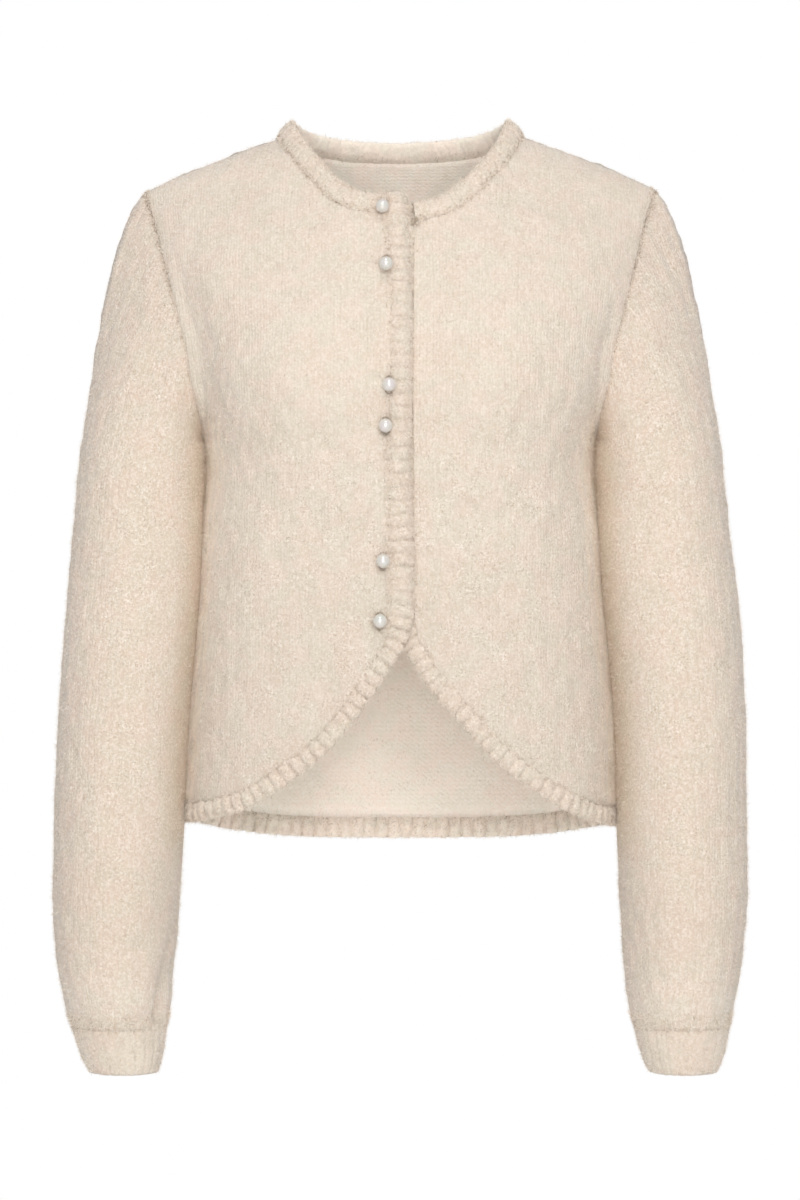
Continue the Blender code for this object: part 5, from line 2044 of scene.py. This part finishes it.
NAP_SHADES = (
    ("nap_pale", (0.86, 0.79, 0.71)),
    ("nap_cream", (0.74, 0.645, 0.545)),
    ("nap_tan", (0.29, 0.205, 0.135)),
)
NAP_SHARES = {
    "nap_body": (0.50, 0.45, 0.05),
    "nap_sleeves": (0.50, 0.44, 0.06),
    "nap_trims": (0.52, 0.42, 0.06),
    "nap_seams": (0.40, 0.32, 0.28),
    "nap_stitches_and_shadow": (0.30, 0.10, 0.60),
}


class Cardigan:
    """The whole garment: panels, sleeves, bands, buttons and nap."""

    def __init__(self) -> None:
        """Makes the shared node groups and the finishes."""
        groups = {"stitch": stitch_group(), "heather": heather_group(), "nap": nap_group()}
        self.wool = {name: WoolFinish(name, **look).build(groups) for name, look in LOOKS.items()}
        self.nap = [NapFinish(*shade).build() for shade in NAP_SHADES]
        self.pearl = PearlFinish().build()
        self.fibres: dict[str, list[Array]] = {name: [] for name in NAP_SHARES}

    def finishes(self, *names: str) -> list[bpy.types.Material]:
        """The wool finishes with these names."""
        return [self.wool[name] for name in names]

    def build_panels(self) -> None:
        """The back, the fronts, the sleeves and their cuffs."""
        body, sleeves, trims, seams = (self.fibres[name] for name in list(NAP_SHARES)[:4])
        every = slice(None)
        for number, side in enumerate(Side):
            front = Front(side).build()
            dress(front.piece, self.finishes("brushed_stocking_stitch", "inner_side"), Slot.KNIT, front.name)
            body.append(front.nap("front", 20 + number))
            seams.append(front.stretch("flank", slice(-5, None), slice(80), 24 + number))
            sleeve = Sleeve(side)
            panel = sleeve.build()
            dress(panel.piece, self.finishes("brushed_sleeve", "inner_side"), Slot.KNIT, panel.name)
            sleeves.append(panel.nap("sleeve", 30 + number))
            seams.append(panel.stretch("armhole", every, slice(4), 34 + number))
            trims.append(panel.stretch("cuff_join", every, slice(-4, None), 38 + number))
            cuff, outer, normals = sleeve.build_cuff()
            dress(cuff, self.finishes("brushed_cuff", "rib_inner_side"), Slot.RIB, f"cuff_{sleeve.tag}")
            trims.append(NAP["cuff"].on(outer, normals, 40 + number))
        back = Back().build()
        dress(back.piece, self.finishes("brushed_stocking_stitch", "inner_side"), Slot.KNIT, back.name)
        body.append(back.nap("back", 50))

    def build_bands(self) -> None:
        """The front bands, the back hem band and the neckband."""
        lines = {
            "band_right": Edge.front(Side.RIGHT).band_line(),
            "band_left": Edge.front(Side.LEFT).band_line(),
            "hem_back": Edge.hem().band_line(),
            "neckband": Neckband().line(),
        }
        trims, seams, dark = (self.fibres[name] for name in list(NAP_SHARES)[2:])
        for number, (node, line) in enumerate(lines.items()):
            inside = "neck_inner_side" if node == "neckband" else "rib_inner_side"
            maker = RibbedBand(node + "_rib", 70 + number, **OWN_RIBS.get(node, {}))
            band, loops, normals = maker.build(*line)
            dress(band, self.finishes("brushed_rib", inside), Slot.RIB, node)
            half = maker.half_section
            seam = replace(NAP["band_seam"], count=SEAM_FIBRES[node])
            stitches = replace(NAP["dark_stitches"], count=DARK_STITCHES[node])
            trims.append(NAP["band"].on(loops[:, :half], normals[:, :half], 60 + number))
            trims.append(NAP["band_edge"].on(loops[:, :4], normals[:, :4], 64 + number))
            seams.append(seam.on(loops[:, half - 5 : half], normals[:, :5], 68 + number))
            dark.append(stitches.on(loops[:, 7:11], normals[:, 7:11], 74 + number))
            behind, inward = loops[:, half:], -normals[:, half:]
            if node == "neckband":
                seams.append(NAP["neck_inner_seam"].on(behind[:, :6], inward[:, :6], 77))
            if node == "hem_back":
                dark.append(NAP["hem_inner_stitches"].on(behind[:, :5], inward[:, :5], 78))
                trims.append(NAP["hem_inside"].on(behind, inward, 72))
                seams.append(NAP["hem_inner_seam"].on(behind[:, :6], inward[:, :6], 73))

    def build_buttons(self) -> None:
        """The pearl buttons and the dark rings round their buttonholes, which are painted shadow."""
        buttons = PearlButtons()
        for number in range(1, buttons.count + 1):
            dress(buttons.build_pearl(number), [self.pearl], Slot.PEARL, f"button_{number}")
            dress(buttons.build_hole(number), self.finishes("pearl_shadow_yarn"), Slot.RIB)
            self.fibres["nap_trims"].append(buttons.fibres_round(number))
        # Painted shadow: dark fibres fill the pocket where the neckband tucks under the right front's band;
        # they join the dark stitches.
        self.fibres["nap_stitches_and_shadow"].append(shadow_tuft())

    def build_nap(self) -> None:
        """The loose fibres, as joined pieces. Each fibre has one of the yarn's three shades."""
        for name, groups in self.fibres.items():
            points = np.concatenate(groups).reshape(-1, 3)
            corners = np.arange(len(points))
            shades = np.random.default_rng(90).choice(len(self.nap), len(points) // 3, p=NAP_SHARES[name])
            piece = put(name, bare_mesh(name, points, corners, corners[::3], shades))
            dress(piece, self.nap, Slot.KNIT if name in ("nap_body", "nap_sleeves") else Slot.RIB)


# ---- studio


LIGHT_COLOUR = (1.0, 0.99, 0.98)
LIGHTS = (
    ("front", (0.0, -3.4, -0.40), (1.2, 1.2), 30.0),
    ("front_high", (0.0, -3.0, 1.2), (1.6, 1.2), 30.5),
    ("over_neck", (0.0, -1.2, 2.1), (0.8, 0.8), 14.0),
    ("glint", (0.34, -2.7, 0.40), (0.40, 0.40), 10.0),
    ("behind", (0.0, 2.8, 0.8), (2.4, 1.8), 26.0),
)


@dataclass(frozen=True)
class Studio:
    """A white studio: a wide soft light before the garment, paler ones round it, and a level camera."""

    distance: float = 3.0
    middle_z: float = -0.3067
    frame_height: float = 0.846
    sensor: float = 36.0
    floor_z: float = -1.30
    floor_size: float = 7.0
    ambient: float = 0.56

    def camera(self) -> None:
        """A camera straight before the garment, whose frame is 0.846 m high there."""
        data = bpy.data.cameras.new("camera")
        data.sensor_width = self.sensor
        data.lens = self.sensor * self.distance / self.frame_height
        data.clip_end = 50.0
        camera = put("camera", data)
        camera.location = (0.0, -self.distance, self.middle_z)
        camera.rotation_euler = (QUARTER, 0.0, 0.0)
        bpy.context.scene.camera = camera

    def light(self, name: str, place: tuple, size: tuple, power: float) -> None:
        """An area light that faces the middle of the garment.

        Args:
            name: its name.
            place: where it stands.
            size: its width and height.
            power: its power in watts.
        """
        data = bpy.data.lights.new(name, "AREA")
        data.shape, data.size, data.size_y = "RECTANGLE", size[0], size[1]
        data.energy, data.color = power, LIGHT_COLOUR
        lamp = put(name, data)
        lamp.location = place
        toward = Vector((0.0, 0.0, self.middle_z)) - Vector(place)
        lamp.rotation_euler = toward.to_track_quat("-Z", "Y").to_euler()

    def lights(self) -> None:
        """All the lights."""
        for row in LIGHTS:
            self.light(*row)

    def world(self) -> None:
        """A world that is plain white to the camera and a softer white as light."""
        world = bpy.data.worlds.new("studio")
        world.use_nodes = True
        bpy.context.scene.world = world
        nodes = Nodes(world.node_tree)
        world.node_tree.nodes.clear()
        seen = nodes.add("Background", {"Color": opaque((1.0, 1.0, 1.0)), "Strength": 1.0}).outputs[0]
        pale = {"Color": opaque((1.0, 0.99, 0.975)), "Strength": self.ambient}
        lit = nodes.add("Background", pale).outputs[0]
        path = nodes.add("LightPath").outputs["Is Camera Ray"]
        nodes.add("OutputWorld", {"Surface": nodes.add("MixShader", {0: path, 1: lit, 2: seen}).outputs[0]})

    def floor(self) -> None:
        """A plain pale floor well below the garment."""
        half = self.floor_size / 2
        corners = [(-half, -half), (half, -half), (half, half), (-half, half)]
        mesh = bpy.data.meshes.new("floor")
        mesh.from_pydata([(x, y, self.floor_z) for x, y in corners], [], [(0, 1, 2, 3)])
        floor = put("floor", mesh)
        material, nodes, shader = new_material("pale_floor")
        place = nodes.add("TexCoord").outputs["Object"]
        cloud = nodes.ranged(nodes.noise(place, 2.0, 2.0), 0.3, 0.7, 0.0, 1.0)
        colour = nodes.mixed(cloud, opaque((0.88, 0.88, 0.87)), opaque((0.90, 0.90, 0.89)))
        nodes.fill(shader, {"Base Color": colour, "Roughness": 0.8})
        mesh.materials.append(material)

    def build(self) -> None:
        """The whole studio, shown without a film curve."""
        self.camera()
        self.lights()
        self.world()
        self.floor()
        bpy.context.scene.view_settings.view_transform = "Standard"


def main() -> None:
    """Builds the studio and the garment."""
    Studio().build()
    garment = Cardigan()
    garment.build_panels()
    garment.build_bands()
    garment.build_buttons()
    garment.build_nap()


if __name__ == "__main__":
    main()
